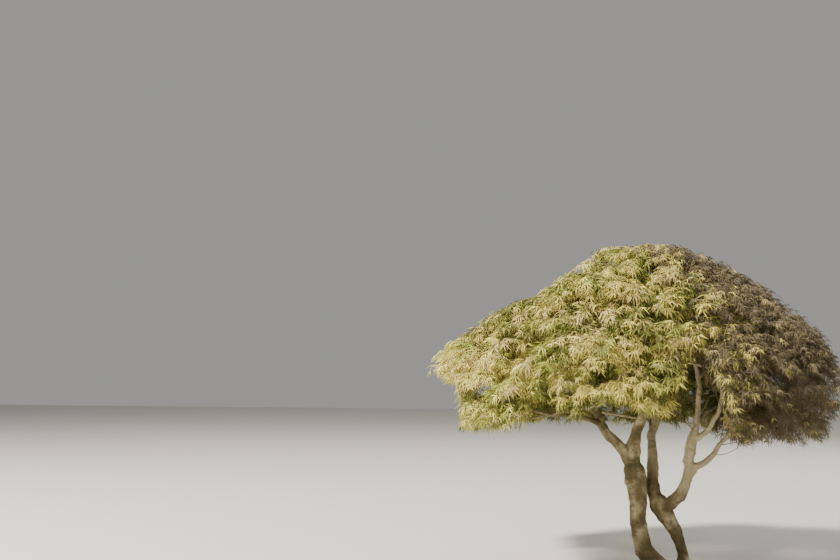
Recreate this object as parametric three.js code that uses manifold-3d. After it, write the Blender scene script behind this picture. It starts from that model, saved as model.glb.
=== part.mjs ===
// A weeping garden tree with low forking stems and a broad domed crown of drooping, narrow-fingered leaves.
// Millimetres, +Z up. The origin is on the flat cut under the left stem, at ground level. +X points to the
// right as the tree is seen from its front, which faces -Y.
import * as THREE from 'three';
import { mergeVertices } from 'three/addons/utils/BufferGeometryUtils.js';
import Module from 'manifold-3d';

const wasm = await Module();
wasm.setup();

// Driving dimensions of the crown
const treeHeight = 2465;
const shoulderHeight = 1300;
const skirtHeight = 890;
const crownReach = { side: 1590, depth: 1450 };
const crownMiddle = { x: -250, y: 0 };
const topShift = 190;
const skirtDrawIn = 0.12;

// Rings of leaf masses from the top down: how many, the ring's radius, the height of their middles,
// the first one's bearing, half of each mass's size outwards, sideways and upwards, and its outward tilt.
// Neighbours stand higher and lower by the stagger, and the higher they are the further in.
const tiers = [
  {
    name: 'top',
    count: 1,
    ring: 0,
    height: 2330,
    bearing: -90,
    half: [410, 410, 110],
    tilt: 0,
    stagger: 0,
    drawIn: 0,
  },
  {
    name: 'upper',
    count: 6,
    ring: 640,
    height: 2020,
    bearing: -110,
    half: [360, 340, 220],
    tilt: 0.4,
    stagger: 60,
    drawIn: 1.3,
  },
  {
    name: 'middle',
    count: 9,
    ring: 1100,
    height: 1620,
    bearing: 180,
    half: [350, 360, 240],
    tilt: 0.5,
    stagger: 60,
    drawIn: 1,
  },
  {
    name: 'skirt',
    count: 9,
    ring: 1170,
    height: 1145,
    bearing: -130,
    half: [360, 360, 220],
    tilt: 0.4,
    stagger: 45,
    drawIn: 0,
  },
];
// A mass's own space is centred lower and further out than its mound, because its leaves hang outwards
const heartShift = { out: 100, down: 110 };
// The skirt is lifted at the front, over the stems
const frontBearing = -90;
const frontLift = 190;
const frontLiftWidth = 28;
// In front of the upright limb the masses part: those near this bearing turn away from it
const parting = { bearing: -57, turn: 15, width: 34 };

// The stems and main limbs: where each runs, and its radius at even steps along it
const limbPlans = [
  {
    name: 'left_stem',
    path: [
      [0, 0, 0], [-38, 0, 85], [-86, 0, 180], [-112, 0, 345], [-108, 0, 495],
      [-122, 0, 640], [-134, 0, 722], [-140, 0, 778],
    ],
    radii: [66, 61, 58, 58, 61, 74, 71, 46],
    root: { flare: 0.9, bearing: 17 },
  },
  {
    name: 'right_stem',
    path: [
      [196, 60, 0], [202, 63, 70], [187, 64, 166], [146, 64, 274], [94, 60, 370],
      [52, 58, 446], [28, 60, 500], [14, 62, 536],
    ],
    radii: [36, 34, 33, 43, 60, 68, 60, 34],
    root: { flare: 1.3, bearing: 197 },
  },
  {
    name: 'middle_limb',
    path: [
      [-134, 0, 720], [-146, 2, 820], [-128, 6, 915], [-100, 6, 1010],
      [-58, 0, 1105], [10, -20, 1240], [20, -10, 1480],
    ],
    radii: [58, 58, 46, 40, 35, 28, 20, 13],
    carries: 'top_mass_1',
  },
  {
    name: 'left_limb',
    path: [
      [-128, 0, 680], [-180, -10, 812], [-245, -25, 900], [-312, -40, 970],
      [-360, -50, 1045], [-430, -60, 1170],
    ],
    radii: [46, 43, 38, 35, 32, 26, 15],
    carries: 'middle_mass_1',
  },
  {
    name: 'back_limb',
    path: [[20, 60, 486], [4, 88, 600], [4, 138, 745], [0, 230, 940], [10, 330, 1150]],
    radii: [47, 43, 38, 32, 25, 15],
    carries: 'middle_mass_8',
  },
  {
    name: 'right_limb',
    path: [[66, 60, 420], [140, 26, 496], [204, 4, 566], [250, -2, 690]],
    radii: [46, 45, 42, 35],
  },
  {
    name: 'upright_limb',
    path: [
      [244, -2, 664], [257, 0, 755], [262, 4, 845], [288, 8, 945],
      [318, 14, 1050], [336, 22, 1210], [334, 40, 1430],
    ],
    radii: [35, 33, 35, 33, 22, 18, 15, 12],
    carries: 'upper_mass_3',
  },
  {
    name: 'low_right_limb',
    path: [[250, -4, 672], [300, -12, 742], [366, -24, 784], [426, -40, 842], [478, -48, 920]],
    radii: [29, 26, 23, 20, 16, 12],
    carries: 'skirt_mass_4',
  },
  {
    name: 'inner_right_limb',
    path: [[290, 8, 935], [345, -2, 965], [400, -20, 1020], [440, -50, 1095], [480, -100, 1190]],
    radii: [21, 20, 19, 18, 16, 12],
    carries: 'middle_mass_5',
  },
];

// Boughs, twigs and leaves
const boughRadius = { start: 19, end: 10 };
const boughStart = { lowest: 720, below: 120, spacing: 0.07 };
const stemTipRadius = 5;
const twigRadius = { start: 6, end: 3.2 };
const twigsPerMass = 5;
const twigFan = 108;
const leafRoom = { out: 70, up: 24 };
const twigArch = 0.12;
const twigDroop = 90;
const leaf = { length: 340, width: 124, thickness: 8, spread: 52, hang: 1.25, arch: 0.07, widestAt: 0.4 };
// Along each twig: how far out a leaf sits, and to which side it turns
const leafPlaces = [
  { at: 0.28, side: -1 },
  { at: 0.46, side: 1 },
  { at: 0.62, side: -1 },
  { at: 0.8, side: 1 },
  { at: 0.96, side: -0.15 },
];
// A leaf that would leave its mass's space hangs more steeply, and then it is smaller
const leafFits = [
  { size: 1, hang: 1, turn: 1 },
  { size: 1, hang: 1.5, turn: 0.8 },
  { size: 1, hang: 2.2, turn: 1.2 },
  { size: 0.86, hang: 1.2, turn: 0.8 },
  { size: 0.86, hang: 2, turn: 1.3 },
  { size: 0.86, hang: 4, turn: 1 },
  { size: 0.7, hang: 3, turn: 1 },
];
const jointGap = 0.3;
const joinTolerance = 0.3;
const massGap = 6;
const limbClearance = 4;
const leafClearance = 2;
const ringSpacing = { stem: 75, limb: 105, bough: 115 };
const sides = { stem: 12, limb: 8, bough: 5, massStem: 4, twig: 3 };
const up = new THREE.Vector3(0, 0, 1);

const barkColor = new THREE.Color(0x8d8468);
const strawColor = new THREE.Color(0xb9a766);
const limeColor = new THREE.Color(0x8c9440);
const rustColor = new THREE.Color(0x94745a);

const lerp = THREE.MathUtils.lerp;
const radians = THREE.MathUtils.degToRad;

// A repeatable stream of numbers from 0 to 1
function seededRandom(seed) {
  let state = Math.imul(seed + 1, 2654435761) >>> 0;
  return () => {
    state = (Math.imul(state, 1664525) + 1013904223) >>> 0;
    return state / 4294967296;
  };
}

// The crown's reach at a height, as a share of its widest
function reachShare(height) {
  if (height < shoulderHeight) {
    return 1 - skirtDrawIn * (shoulderHeight - height) / (shoulderHeight - skirtHeight);
  }
  const above = Math.min((height - shoulderHeight) / (treeHeight - shoulderHeight), 1);
  return Math.max((1 - above ** 1.5) ** 0.7, 1e-6);
}

// The crown leans a little to the right as it rises
function middleAt(height) {
  const above = Math.max(height - shoulderHeight, 0) / (treeHeight - shoulderHeight);
  return new THREE.Vector3(crownMiddle.x + topShift * above, crownMiddle.y, height);
}

function insideCrown(point) {
  if (point.z > treeHeight || point.z < skirtHeight) return false;
  const middle = middleAt(point.z);
  const share = reachShare(point.z);
  const x = (point.x - middle.x) / (crownReach.side * share);
  const y = (point.y - middle.y) / (crownReach.depth * share);
  return x * x + y * y <= 1;
}

// The height of the crown's domed surface over a place
function surfaceAbove(point) {
  let low = shoulderHeight;
  let high = treeHeight;
  while (high - low > 2) {
    const middle = (low + high) / 2;
    if (insideCrown(point.clone().setZ(middle))) low = middle;
    else high = middle;
  }
  return low;
}

// How far a mass of a tier sits above or below its tier's height
function liftOf(tier, bearing, index) {
  const fromFront = THREE.MathUtils.euclideanModulo(bearing - frontBearing + 180, 360) - 180;
  const stagger = index % 2 ? -tier.stagger : tier.stagger;
  const lift = tier.name === 'skirt' ? frontLift * Math.exp(-((fromFront / frontLiftWidth) ** 2)) : 0;
  return lift + stagger;
}

// A mass of the skirt near the parting stands turned away from it
function partedBearing(tier, bearing) {
  if (tier.name !== 'skirt') return bearing;
  const away = THREE.MathUtils.euclideanModulo(bearing - parting.bearing + 180, 360) - 180;
  return bearing + Math.sign(away) * parting.turn * Math.exp(-((away / parting.width) ** 2));
}

// Where each mass of foliage sits
function placeMasses() {
  const placed = [];
  tiers.forEach((tier, tierIndex) => {
    for (let i = 0; i < tier.count; i++) {
      const random = seededRandom(100 * tierIndex + i);
      const bearing = partedBearing(tier, tier.bearing + (360 / tier.count) * i);
      const angle = radians(bearing + lerp(-4, 4, random()));
      const lift = liftOf(tier, bearing, i) + lerp(-20, 20, random());
      const height = tier.height + lift;
      const ring = tier.ring - tier.drawIn * lift;
      const outward = new THREE.Vector3(Math.cos(angle), Math.sin(angle), 0);
      const centre = middleAt(height);
      centre.x += ring * outward.x;
      centre.y += ring * outward.y * crownReach.depth / crownReach.side;
      placed.push({
        name: `${tier.name}_mass_${i + 1}`,
        index: placed.length,
        isTop: tier.count === 1,
        centre,
        heart: centre.clone().addScaledVector(outward, heartShift.out).addScaledVector(up, -heartShift.down),
        outward,
        across: new THREE.Vector3().crossVectors(up, outward),
        half: tier.half,
        tilt: tier.tilt,
      });
    }
  });
  return placed;
}

// A mass keeps to the points inside the crown that are nearer to its own middle than to any other
function insideMass(point, mass) {
  if (!insideCrown(point)) return false;
  const own = point.distanceToSquared(mass.heart);
  return masses.every((other) => {
    if (other === mass) return true;
    return point.distanceToSquared(other.heart) - own > massGap * mass.heart.distanceTo(other.heart);
  });
}

// Where the bough hands over to the mass, on the mass's inner, lower side
function entryOf(mass) {
  const inward = mass.isTop
    ? new THREE.Vector3(0.15, 0, -0.8)
    : mass.outward.clone().multiplyScalar(-0.92).addScaledVector(up, -0.12);
  const at = (share) => mass.centre.clone().addScaledVector(inward, share * mass.half[0]);
  let share = 0.86;
  while (share > 0.3 && !insideMass(at(share), mass)) share -= 0.04;
  return at(share);
}

// A tapering limb: a cylinder whose rings follow a curve. A foot is flat on the ground, with a root flare.
function sweep(limb, extra = 0) {
  let geometry = new THREE.CylinderGeometry(1, 1, 1, limb.sides, limb.steps);
  geometry.deleteAttribute('normal');
  geometry.deleteAttribute('uv');
  geometry = mergeVertices(geometry, 1e-4);
  const frames = limb.curve.computeFrenetFrames(limb.steps, false);
  const place = geometry.getAttribute('position');
  for (let i = 0; i < place.count; i++) {
    const step = Math.round((place.getY(i) + 0.5) * limb.steps);
    const point = limb.curve.getPoint(step / limb.steps);
    const out = frames.normals[step].clone().multiplyScalar(place.getX(i));
    out.addScaledVector(frames.binormals[step], -place.getZ(i));
    const isFoot = limb.root && step === 0;
    const swell = limb.root ? rootSwell(limb.root, Math.atan2(out.y, out.x), point.z) : 1;
    point.addScaledVector(out, limb.radiusAt(step / limb.steps) * swell + extra);
    if (isFoot) point.z = 0;
    place.setXYZ(i, point.x, point.y, point.z);
  }
  return toSolid(geometry);
}

// How much the roots widen a stem: three lobes, one of them at the named bearing, that die away upwards
function rootSwell(root, angle, height) {
  const lobes = 1 + 0.35 * Math.cos(3 * (angle - radians(root.bearing)));
  return 1 + root.flare * Math.exp(-height / 55) * lobes;
}

// Between a mesh and a solid that can be joined and cut
function toSolid(geometry) {
  return new wasm.Manifold(
    new wasm.Mesh({
      numProp: 3,
      vertProperties: Float32Array.from(geometry.getAttribute('position').array),
      triVerts: Uint32Array.from(geometry.index.array),
    }),
  );
}

function toGeometry(solid) {
  const mesh = solid.getMesh();
  return new THREE.BufferGeometry()
    .setAttribute('position', new THREE.BufferAttribute(Float32Array.from(mesh.vertProperties), 3))
    .setIndex(new THREE.BufferAttribute(Uint32Array.from(mesh.triVerts), 1));
}

function largestPiece(solid) {
  return solid.decompose().reduce((best, piece) => (piece.volume() > best.volume() ? piece : best));
}

// A point on the straight line between the middles of a swept limb's rings
function ringLine(limb, t) {
  const step = Math.min(Math.floor(t * limb.steps), limb.steps - 1);
  const from = limb.curve.getPoint(step / limb.steps);
  return from.lerp(limb.curve.getPoint((step + 1) / limb.steps), t * limb.steps - step);
}

// A radius that runs evenly from each named value to the next
function radiusAlong(radii) {
  return (t) => {
    const place = Math.min(t * (radii.length - 1), radii.length - 1 - 1e-9);
    const first = Math.floor(place);
    return lerp(radii[first], radii[first + 1], place - first);
  };
}

// A stem or main limb. One that carries a mass ends where that mass begins.
function planLimb(plan) {
  const points = plan.path.map((xyz) => new THREE.Vector3(...xyz));
  const mass = masses.find((each) => each.name === plan.carries);
  if (mass) {
    points.push(mass.entry);
    mass.entryDirection = mass.entry.clone().sub(points.at(-2)).normalize();
    mass.stemRadius = plan.radii.at(-1);
  }
  const curve = new THREE.CatmullRomCurve3(points, false, 'catmullrom', 0.5);
  const isStem = plan.name.endsWith('stem');
  const kind = isStem ? 'stem' : 'limb';
  return {
    ...plan,
    curve,
    radiusAt: radiusAlong(plan.radii),
    steps: Math.round(curve.getLength() / ringSpacing[kind]),
    sides: sides[kind],
    canFork: !isStem,
    forks: [],
  };
}

// A bough rises from a host limb to its mass, leaving the limb partly in the limb's own direction
function boughCurve(host, t, mass) {
  const start = host.curve.getPoint(t);
  const length = start.distanceTo(mass.entry);
  const straight = mass.entry.clone().sub(start).normalize();
  const heading = host.curve.getTangent(t).lerp(straight, 0.72).normalize();
  mass.entryDirection = mass.outward.clone().addScaledVector(up, 0.35).lerp(straight, 0.5).normalize();
  return new THREE.CubicBezierCurve3(
    start,
    start.clone().addScaledVector(heading, 0.36 * length),
    mass.entry.clone().addScaledVector(mass.entryDirection, -0.34 * length),
    mass.entry,
  );
}

// The places where a bough to this mass could spring from, the most natural first
function boughOrigins(mass, limbs) {
  const origins = [];
  for (const host of limbs.filter((limb) => limb.canFork)) {
    for (let t = 0.3; t <= 0.97; t += 0.03) {
      const start = host.curve.getPoint(t);
      const tooHigh = Math.max(start.z - mass.entry.z + boughStart.below, 0);
      const tooLow = Math.max(boughStart.lowest - start.z, 0);
      const crowded = host.forks.some((fork) => Math.abs(fork - t) < boughStart.spacing);
      const tooNear = Math.max(160 - start.distanceTo(mass.entry), 0);
      const awkward = 1.2 * tooHigh + 2 * tooLow + 3 * tooNear + (crowded ? 260 : 0);
      origins.push({ host, t, cost: start.distanceTo(mass.entry) + awkward });
    }
  }
  return origins.sort((a, b) => a.cost - b.cost);
}

// Whether a bough passes clear of every limb but the one that it springs from
function passesClear(curve, host, limbs) {
  const points = curve.getPoints(14).slice(3);
  return limbs.every((limb) =>
    limb.beads.every(({ centre, radius }) => {
      const room = limb === host ? radius + 2 : radius + boughRadius.start + limbClearance;
      return points.every((point) => point.distanceTo(centre) > room);
    }),
  );
}

// A limb as a row of beads along its middle, to measure distances from
function beadsOf(limb) {
  const count = Math.ceil(limb.curve.getLength() / 15);
  return Array.from({ length: count + 1 }, (_, i) => ({
    centre: limb.curve.getPoint(i / count),
    radius: limb.radiusAt(i / count),
  }));
}

function planBough(mass, limbs) {
  const origins = boughOrigins(mass, limbs);
  const clear = origins.find(({ host, t }) => passesClear(boughCurve(host, t, mass), host, limbs));
  const { host, t } = clear ?? origins[0];
  host.forks.push(t);
  const curve = boughCurve(host, t, mass);
  const thickest = Math.min(boughRadius.start, 0.8 * host.radiusAt(t));
  mass.stemRadius = Math.min(boughRadius.end, 0.9 * thickest);
  return {
    name: mass.name.replace('mass', 'bough'),
    curve,
    radiusAt: radiusAlong([thickest, lerp(thickest, mass.stemRadius, 0.6), mass.stemRadius]),
    steps: Math.max(Math.round(curve.getLength() / ringSpacing.bough), 3),
    sides: sides.bough,
    canFork: true,
    forks: [],
  };
}

// All limbs, each cut clear of the ones before it, which it springs from
function buildLimbs() {
  const limbs = limbPlans.map(planLimb);
  for (const limb of limbs) limb.beads = beadsOf(limb);
  for (const mass of masses.filter((each) => !each.entryDirection)) {
    const bough = planBough(mass, limbs);
    bough.beads = beadsOf(bough);
    limbs.push(bough);
  }
  const earlier = [];
  for (const limb of limbs) {
    limb.solid = largestPiece(earlier.reduce((solid, other) => solid.subtract(other), sweep(limb)));
    earlier.push(sweep(limb, jointGap));
  }
  return limbs;
}

// Whether a solid keeps at least this far from each of the others
function isClear(solid, others, room) {
  return others.every((other) => solid.minGap(other, room) >= room);
}

// A point of the mass's domed top, just under the crown's surface: out and aside run from -1 to 1
function moundPoint(mass, out, aside) {
  const rim = out * out + aside * aside;
  const rise = 0.8 - 0.85 * rim - mass.tilt * out;
  const point = mass.centre
    .clone()
    .addScaledVector(mass.outward, out * mass.half[0])
    .addScaledVector(mass.across, aside * mass.half[1])
    .addScaledVector(up, rise * mass.half[2]);
  const outside = point.clone().sub(middleAt(point.z)).setLength(leafRoom.out);
  return point.setZ(Math.min(point.z, surfaceAbove(outside.add(point)) - leafRoom.up));
}

// The stem inside a mass carries on from its bough and rises under the mound
function massStem(mass) {
  const start = mass.entry.clone().addScaledVector(mass.entryDirection, jointGap);
  const end = moundPoint(mass, mass.isTop ? 0 : 0.35, 0).addScaledVector(up, -0.22 * mass.half[2]);
  const length = start.distanceTo(end);
  const arrival = mass.isTop ? up.clone().multiplyScalar(0.3) : mass.outward.clone().multiplyScalar(0.3);
  return {
    curve: new THREE.CubicBezierCurve3(
      start,
      start.clone().addScaledVector(mass.entryDirection, 0.4 * length),
      end.clone().addScaledVector(arrival, -length),
      end,
    ),
    radiusAt: radiusAlong([mass.stemRadius, stemTipRadius]),
    steps: 3,
    sides: sides.massStem,
  };
}

// A twig leaves the mass's stem, arches up and droops to its place on the mound. It is as long as the
// mass's space allows, or left out.
function planTwig(mass, stem, index, random) {
  const middle = (twigsPerMass - 1) / 2;
  const step = mass.isTop ? 2 * Math.PI / twigsPerMass : radians(twigFan) / middle;
  const turn = (index - middle) * step + lerp(-0.15, 0.15, random());
  const out = Math.cos(turn);
  const aside = Math.sin(turn);
  const t = mass.isTop ? lerp(0.7, 0.96, random()) : THREE.MathUtils.clamp(0.45 + 0.4 * out, 0.25, 0.9);
  const start = ringLine(stem, t);
  const longest = lerp(0.82, 0.95, random());
  const droop = index % 2 && !mass.isTop ? twigDroop * lerp(0.7, 1.3, random()) : 0;
  for (let share = longest; share > 0.35; share -= 0.05) {
    const end = moundPoint(mass, share * out, share * aside).addScaledVector(up, -droop);
    const control = start.clone().lerp(end, 0.55).addScaledVector(up, twigArch * start.distanceTo(end));
    const curve = new THREE.QuadraticBezierCurve3(start, control, end);
    const radiusAt = radiusAlong([twigRadius.start, twigRadius.end]);
    const twig = { curve, radiusAt, steps: 2, sides: sides.twig, random };
    const room = end.clone().sub(middleAt(end.z)).setLength(leafRoom.out).add(end);
    if (![...curve.getPoints(4), room].every((point) => insideMass(point, mass))) continue;
    twig.solid = sweep(twig);
    if (isClear(twig.solid, limbSolids, limbClearance)) return [twig];
  }
  return [];
}

// One blade of eight faces, arched along its length, its root sunk in the twig
function leafGeometry(root, flat, hang, length, width) {
  const heading = flat.clone().addScaledVector(up, -hang).normalize();
  const side = new THREE.Vector3().crossVectors(up, heading).normalize();
  const face = new THREE.Vector3().crossVectors(heading, side).normalize();
  let geometry = new THREE.OctahedronGeometry(1);
  geometry.deleteAttribute('normal');
  geometry.deleteAttribute('uv');
  geometry = mergeVertices(geometry, 1e-4);
  const place = geometry.getAttribute('position');
  for (let i = 0; i < place.count; i++) {
    const [x, y, z] = [place.getX(i), place.getY(i), place.getZ(i)];
    const isEnd = Math.abs(x) > 0.5;
    const along = isEnd ? Math.max(x, 0) : leaf.widestAt;
    const point = root
      .clone()
      .addScaledVector(heading, along * length)
      .addScaledVector(side, y * width * 0.5)
      .addScaledVector(face, z * leaf.thickness * 0.5)
      .addScaledVector(up, isEnd ? 0 : leaf.arch * length);
    place.setXYZ(i, point.x, point.y, point.z);
  }
  return geometry;
}

function cornersOf(geometry) {
  const place = geometry.getAttribute('position');
  return Array.from({ length: place.count }, (_, i) => new THREE.Vector3().fromBufferAttribute(place, i));
}

// The largest leaf that stays in its mass's space, clear of the limbs and of the mass's other pieces
function fitLeaf(mass, others, root, along, turn, hang, length) {
  for (const fit of leafFits) {
    const flat = along.clone().applyAxisAngle(up, fit.turn * turn);
    const width = leaf.width * Math.sqrt(fit.size);
    const geometry = leafGeometry(root, flat, hang * fit.hang, fit.size * length, width);
    if (!cornersOf(geometry).every((corner) => insideMass(corner, mass))) continue;
    const solid = toSolid(geometry);
    if (isClear(solid, limbSolids, limbClearance) && isClear(solid, others, leafClearance)) return solid;
  }
  return null;
}

// Leaves along a twig turn to alternate sides and lean towards the outside of the crown
function growLeaves(twig, mass, others) {
  const { random } = twig;
  const firstSide = random() < 0.5 ? 1 : -1;
  const leaves = [];
  for (const { at, side } of leafPlaces) {
    const root = ringLine(twig, at);
    const turn = radians(firstSide * side * leaf.spread + lerp(-9, 9, random()));
    const outside = mass.isTop ? root.clone().sub(mass.centre).setZ(0).normalize() : mass.outward;
    const along = twig.curve.getTangent(at).setZ(0).normalize().lerp(outside, 0.3).normalize();
    const hang = leaf.hang * lerp(0.7, 1.2, random());
    const length = leaf.length * lerp(0.86, 1.06, random());
    const fitted = fitLeaf(mass, [...others, ...leaves], root, along, turn, hang, length);
    if (fitted) leaves.push(fitted);
  }
  return leaves;
}

// One mass: a stem, its twigs and their leaves, fused into one solid
function buildMass(mass) {
  const stem = massStem(mass);
  const twigs = Array.from({ length: twigsPerMass }, (_, i) =>
    planTwig(mass, stem, i, seededRandom(1000 * (mass.index + 1) + i)),
  ).flat();
  const stemSolid = sweep(stem);
  const twigSolids = twigs.map((twig) => twig.solid);
  const leaves = [];
  for (const twig of twigs) {
    const others = [stemSolid, ...twigSolids.filter((solid) => solid !== twig.solid), ...leaves];
    leaves.push(...growLeaves(twig, mass, others));
  }
  const joined = wasm.Manifold.union([stemSolid, ...twigSolids, ...leaves]);
  return largestPiece(joined).simplify(joinTolerance);
}

// Straw in the sun, greener low down and inside, dull rose brown on the right
function leafColor(mass) {
  const right = THREE.MathUtils.smoothstep(mass.centre.x, 150, 900);
  const low = THREE.MathUtils.smoothstep(-mass.centre.z, -1700, -1000);
  return strawColor.clone().lerp(limeColor, 0.6 * low).lerp(rustColor, right);
}

function namedMesh(name, solid, color, roughness) {
  const material = new THREE.MeshStandardMaterial({ color, roughness, metalness: 0 });
  const mesh = new THREE.Mesh(toGeometry(solid), material);
  mesh.name = name;
  return mesh;
}

const masses = placeMasses();
for (const mass of masses) mass.entry = entryOf(mass);
const limbs = buildLimbs();
const limbSolids = limbs.map((limb) => limb.solid);

const tree = new THREE.Group();
tree.name = 'tree';
for (const limb of limbs) tree.add(namedMesh(limb.name, limb.solid, barkColor, 0.85));
for (const mass of masses) tree.add(namedMesh(mass.name, buildMass(mass), leafColor(mass), 0.6));

export default tree;
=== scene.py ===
import math
import time
import bpy
import numpy as np
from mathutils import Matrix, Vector, noise
from mathutils.kdtree import KDTree


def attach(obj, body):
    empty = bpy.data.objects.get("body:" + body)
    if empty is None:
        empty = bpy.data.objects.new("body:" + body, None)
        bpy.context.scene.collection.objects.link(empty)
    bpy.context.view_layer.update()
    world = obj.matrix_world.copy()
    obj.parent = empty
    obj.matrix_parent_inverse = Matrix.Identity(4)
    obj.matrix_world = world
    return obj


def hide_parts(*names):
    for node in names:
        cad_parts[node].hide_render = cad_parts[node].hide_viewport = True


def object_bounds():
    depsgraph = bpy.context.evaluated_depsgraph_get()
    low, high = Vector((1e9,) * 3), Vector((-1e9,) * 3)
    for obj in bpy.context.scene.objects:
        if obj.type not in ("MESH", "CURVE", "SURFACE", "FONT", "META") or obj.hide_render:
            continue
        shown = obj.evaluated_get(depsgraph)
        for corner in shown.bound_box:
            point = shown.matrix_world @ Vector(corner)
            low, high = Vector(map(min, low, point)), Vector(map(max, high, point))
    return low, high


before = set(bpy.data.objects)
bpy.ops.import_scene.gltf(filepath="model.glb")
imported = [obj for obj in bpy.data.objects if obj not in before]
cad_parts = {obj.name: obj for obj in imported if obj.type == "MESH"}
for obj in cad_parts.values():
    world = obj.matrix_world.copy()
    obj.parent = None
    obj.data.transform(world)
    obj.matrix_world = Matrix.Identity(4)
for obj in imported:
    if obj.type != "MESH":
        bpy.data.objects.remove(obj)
cadLow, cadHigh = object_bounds()
started = time.time()
up = np.array((0.0, 0.0, 1.0))


def report(stage):
    print(f"[{time.time() - started:5.1f} s] {stage}")


def named(things, name):
    return next(thing for thing in things if thing["name"] == name)


def unit(v):
    return v / max(np.linalg.norm(v), 1e-12)


def units(rows):
    return rows / np.maximum(np.linalg.norm(rows, axis=-1, keepdims=True), 1e-12)


def mix(a, b, t):
    return a + (b - a) * t


def eitherWay(reach, share):
    return mix(-reach, reach, share)


# 1 in the middle, falling away smoothly with distance
def bell(across, upward=0):
    return math.exp(-(across**2) - upward**2)


def noiseAt(place):
    return noise.noise(Vector(place))


def towards(angle):
    return np.array((math.cos(angle), math.sin(angle), 0))


def smoothstep(v, low, high):
    t = np.clip((v - low) / (high - low), 0, 1)
    return t * t * (3 - 2 * t)


# the same repeatable stream that the solids are grown with, so the boughs land in the same places
def seededStream(seed):
    state = ((seed + 1) * 2654435761) & 0xFFFFFFFF

    def draw():
        nonlocal state
        state = (state * 1664525 + 1013904223) & 0xFFFFFFFF
        return state / 4294967296

    return draw


# camera at the photo's viewing angle: eye height 1.4 m, a little below the crown's middle, tilted up
photoView = {
    "eye": (0, -6.9, 1.406),
    "turnedLeft": 14.259,
    "tiltedUp": 6.026,
    "focalPixels": 900,
    "frameWidth": 840,
}


def placeCamera(view):
    lens = bpy.data.cameras.new("photoCamera")
    lens.sensor_width = 36
    lens.lens = 36 * view["focalPixels"] / view["frameWidth"]
    camera = bpy.data.objects.new("photoCamera", lens)
    camera.location = view["eye"]
    camera.rotation_euler = (math.radians(90 + view["tiltedUp"]), 0, math.radians(view["turnedLeft"]))
    bpy.context.scene.collection.objects.link(camera)
    bpy.context.scene.camera = camera


placeCamera(photoView)

# the crown's outline: a dome over a skirt that draws in a little
crown = {
    "height": 2.465,
    "shoulder": 1.3,
    "skirt": 0.89,
    "side": 1.59,
    "depth": 1.45,
    "middleX": -0.25,
    "topShift": 0.19,
    "skirtDrawIn": 0.12,
}


def reachShare(z):
    z = np.asarray(z, dtype=float)
    below = 1 - crown["skirtDrawIn"] * (crown["shoulder"] - z) / (crown["shoulder"] - crown["skirt"])
    above = np.clip((z - crown["shoulder"]) / (crown["height"] - crown["shoulder"]), 0, 1)
    return np.where(z < crown["shoulder"], below, np.maximum((1 - above**1.5) ** 0.7, 1e-6))


def middleAt(z):
    z = np.asarray(z, dtype=float)
    above = np.maximum(z - crown["shoulder"], 0) / (crown["height"] - crown["shoulder"])
    x = crown["middleX"] + crown["topShift"] * above
    return np.stack([x, np.zeros_like(x), z], axis=-1)


def insideCrown(points, grow=0.0):
    points = np.atleast_2d(points)
    share = reachShare(points[:, 2])
    offset = points - middleAt(points[:, 2])
    x = offset[:, 0] / ((crown["side"] + grow) * share)
    y = offset[:, 1] / ((crown["depth"] + grow) * share)
    level = (points[:, 2] <= crown["height"]) & (points[:, 2] >= crown["skirt"] - grow)
    return level & (x * x + y * y <= 1)


def surfaceAbove(point):
    low, high = crown["shoulder"], crown["height"]
    while high - low > 0.002:
        middle = (low + high) / 2
        if insideCrown((point[0], point[1], middle))[0]:
            low = middle
        else:
            high = middle
    return low


# rings of leaf pads from the top down, as in the solids
tiers = [
    {"name": "top", "count": 1, "ring": 0, "height": 2.33, "bearing": -90, "half": (0.41, 0.41, 0.11),
     "tilt": 0, "stagger": 0, "drawIn": 0},
    {"name": "upper", "count": 6, "ring": 0.64, "height": 2.02, "bearing": -110, "half": (0.36, 0.34, 0.22),
     "tilt": 0.4, "stagger": 0.06, "drawIn": 1.3},
    {"name": "middle", "count": 9, "ring": 1.1, "height": 1.62, "bearing": 180, "half": (0.35, 0.36, 0.24),
     "tilt": 0.5, "stagger": 0.06, "drawIn": 1},
    {"name": "skirt", "count": 9, "ring": 1.17, "height": 1.145, "bearing": -130, "half": (0.36, 0.36, 0.22),
     "tilt": 0.4, "stagger": 0.045, "drawIn": 0},
]
padPlacing = {
    "heartOut": 0.1,
    "heartDown": 0.11,
    "turnSpread": 4,
    "liftSpread": 0.02,
    "front": -90,
    "frontLift": 0.19,
    "frontLiftWidth": 28,
    "parting": -57,  # the skirt parts here, in front of the upright limb
    "partingTurn": 15,
    "partingWidth": 34,
    "gap": 0.006,
    "entryInward": 0.92,  # a pad's stem enters on its inner side, in shares of its half size
    "entryDown": 0.12,
    "topEntry": (0.15, 0, -0.8),
    "entryShare": 0.86,
    "leastEntryShare": 0.3,
}


def turnFrom(middle, bearing):
    return (bearing - middle + 180) % 360 - 180


def liftOf(tier, bearing, index):
    stagger = -tier["stagger"] if index % 2 else tier["stagger"]
    if tier["name"] != "skirt":
        return stagger
    fromFront = turnFrom(padPlacing["front"], bearing)
    return stagger + padPlacing["frontLift"] * bell(fromFront / padPlacing["frontLiftWidth"])


def partedBearing(tier, bearing):
    if tier["name"] != "skirt":
        return bearing
    away = turnFrom(padPlacing["parting"], bearing)
    return bearing + math.copysign(padPlacing["partingTurn"], away) * bell(away / padPlacing["partingWidth"])


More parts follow.
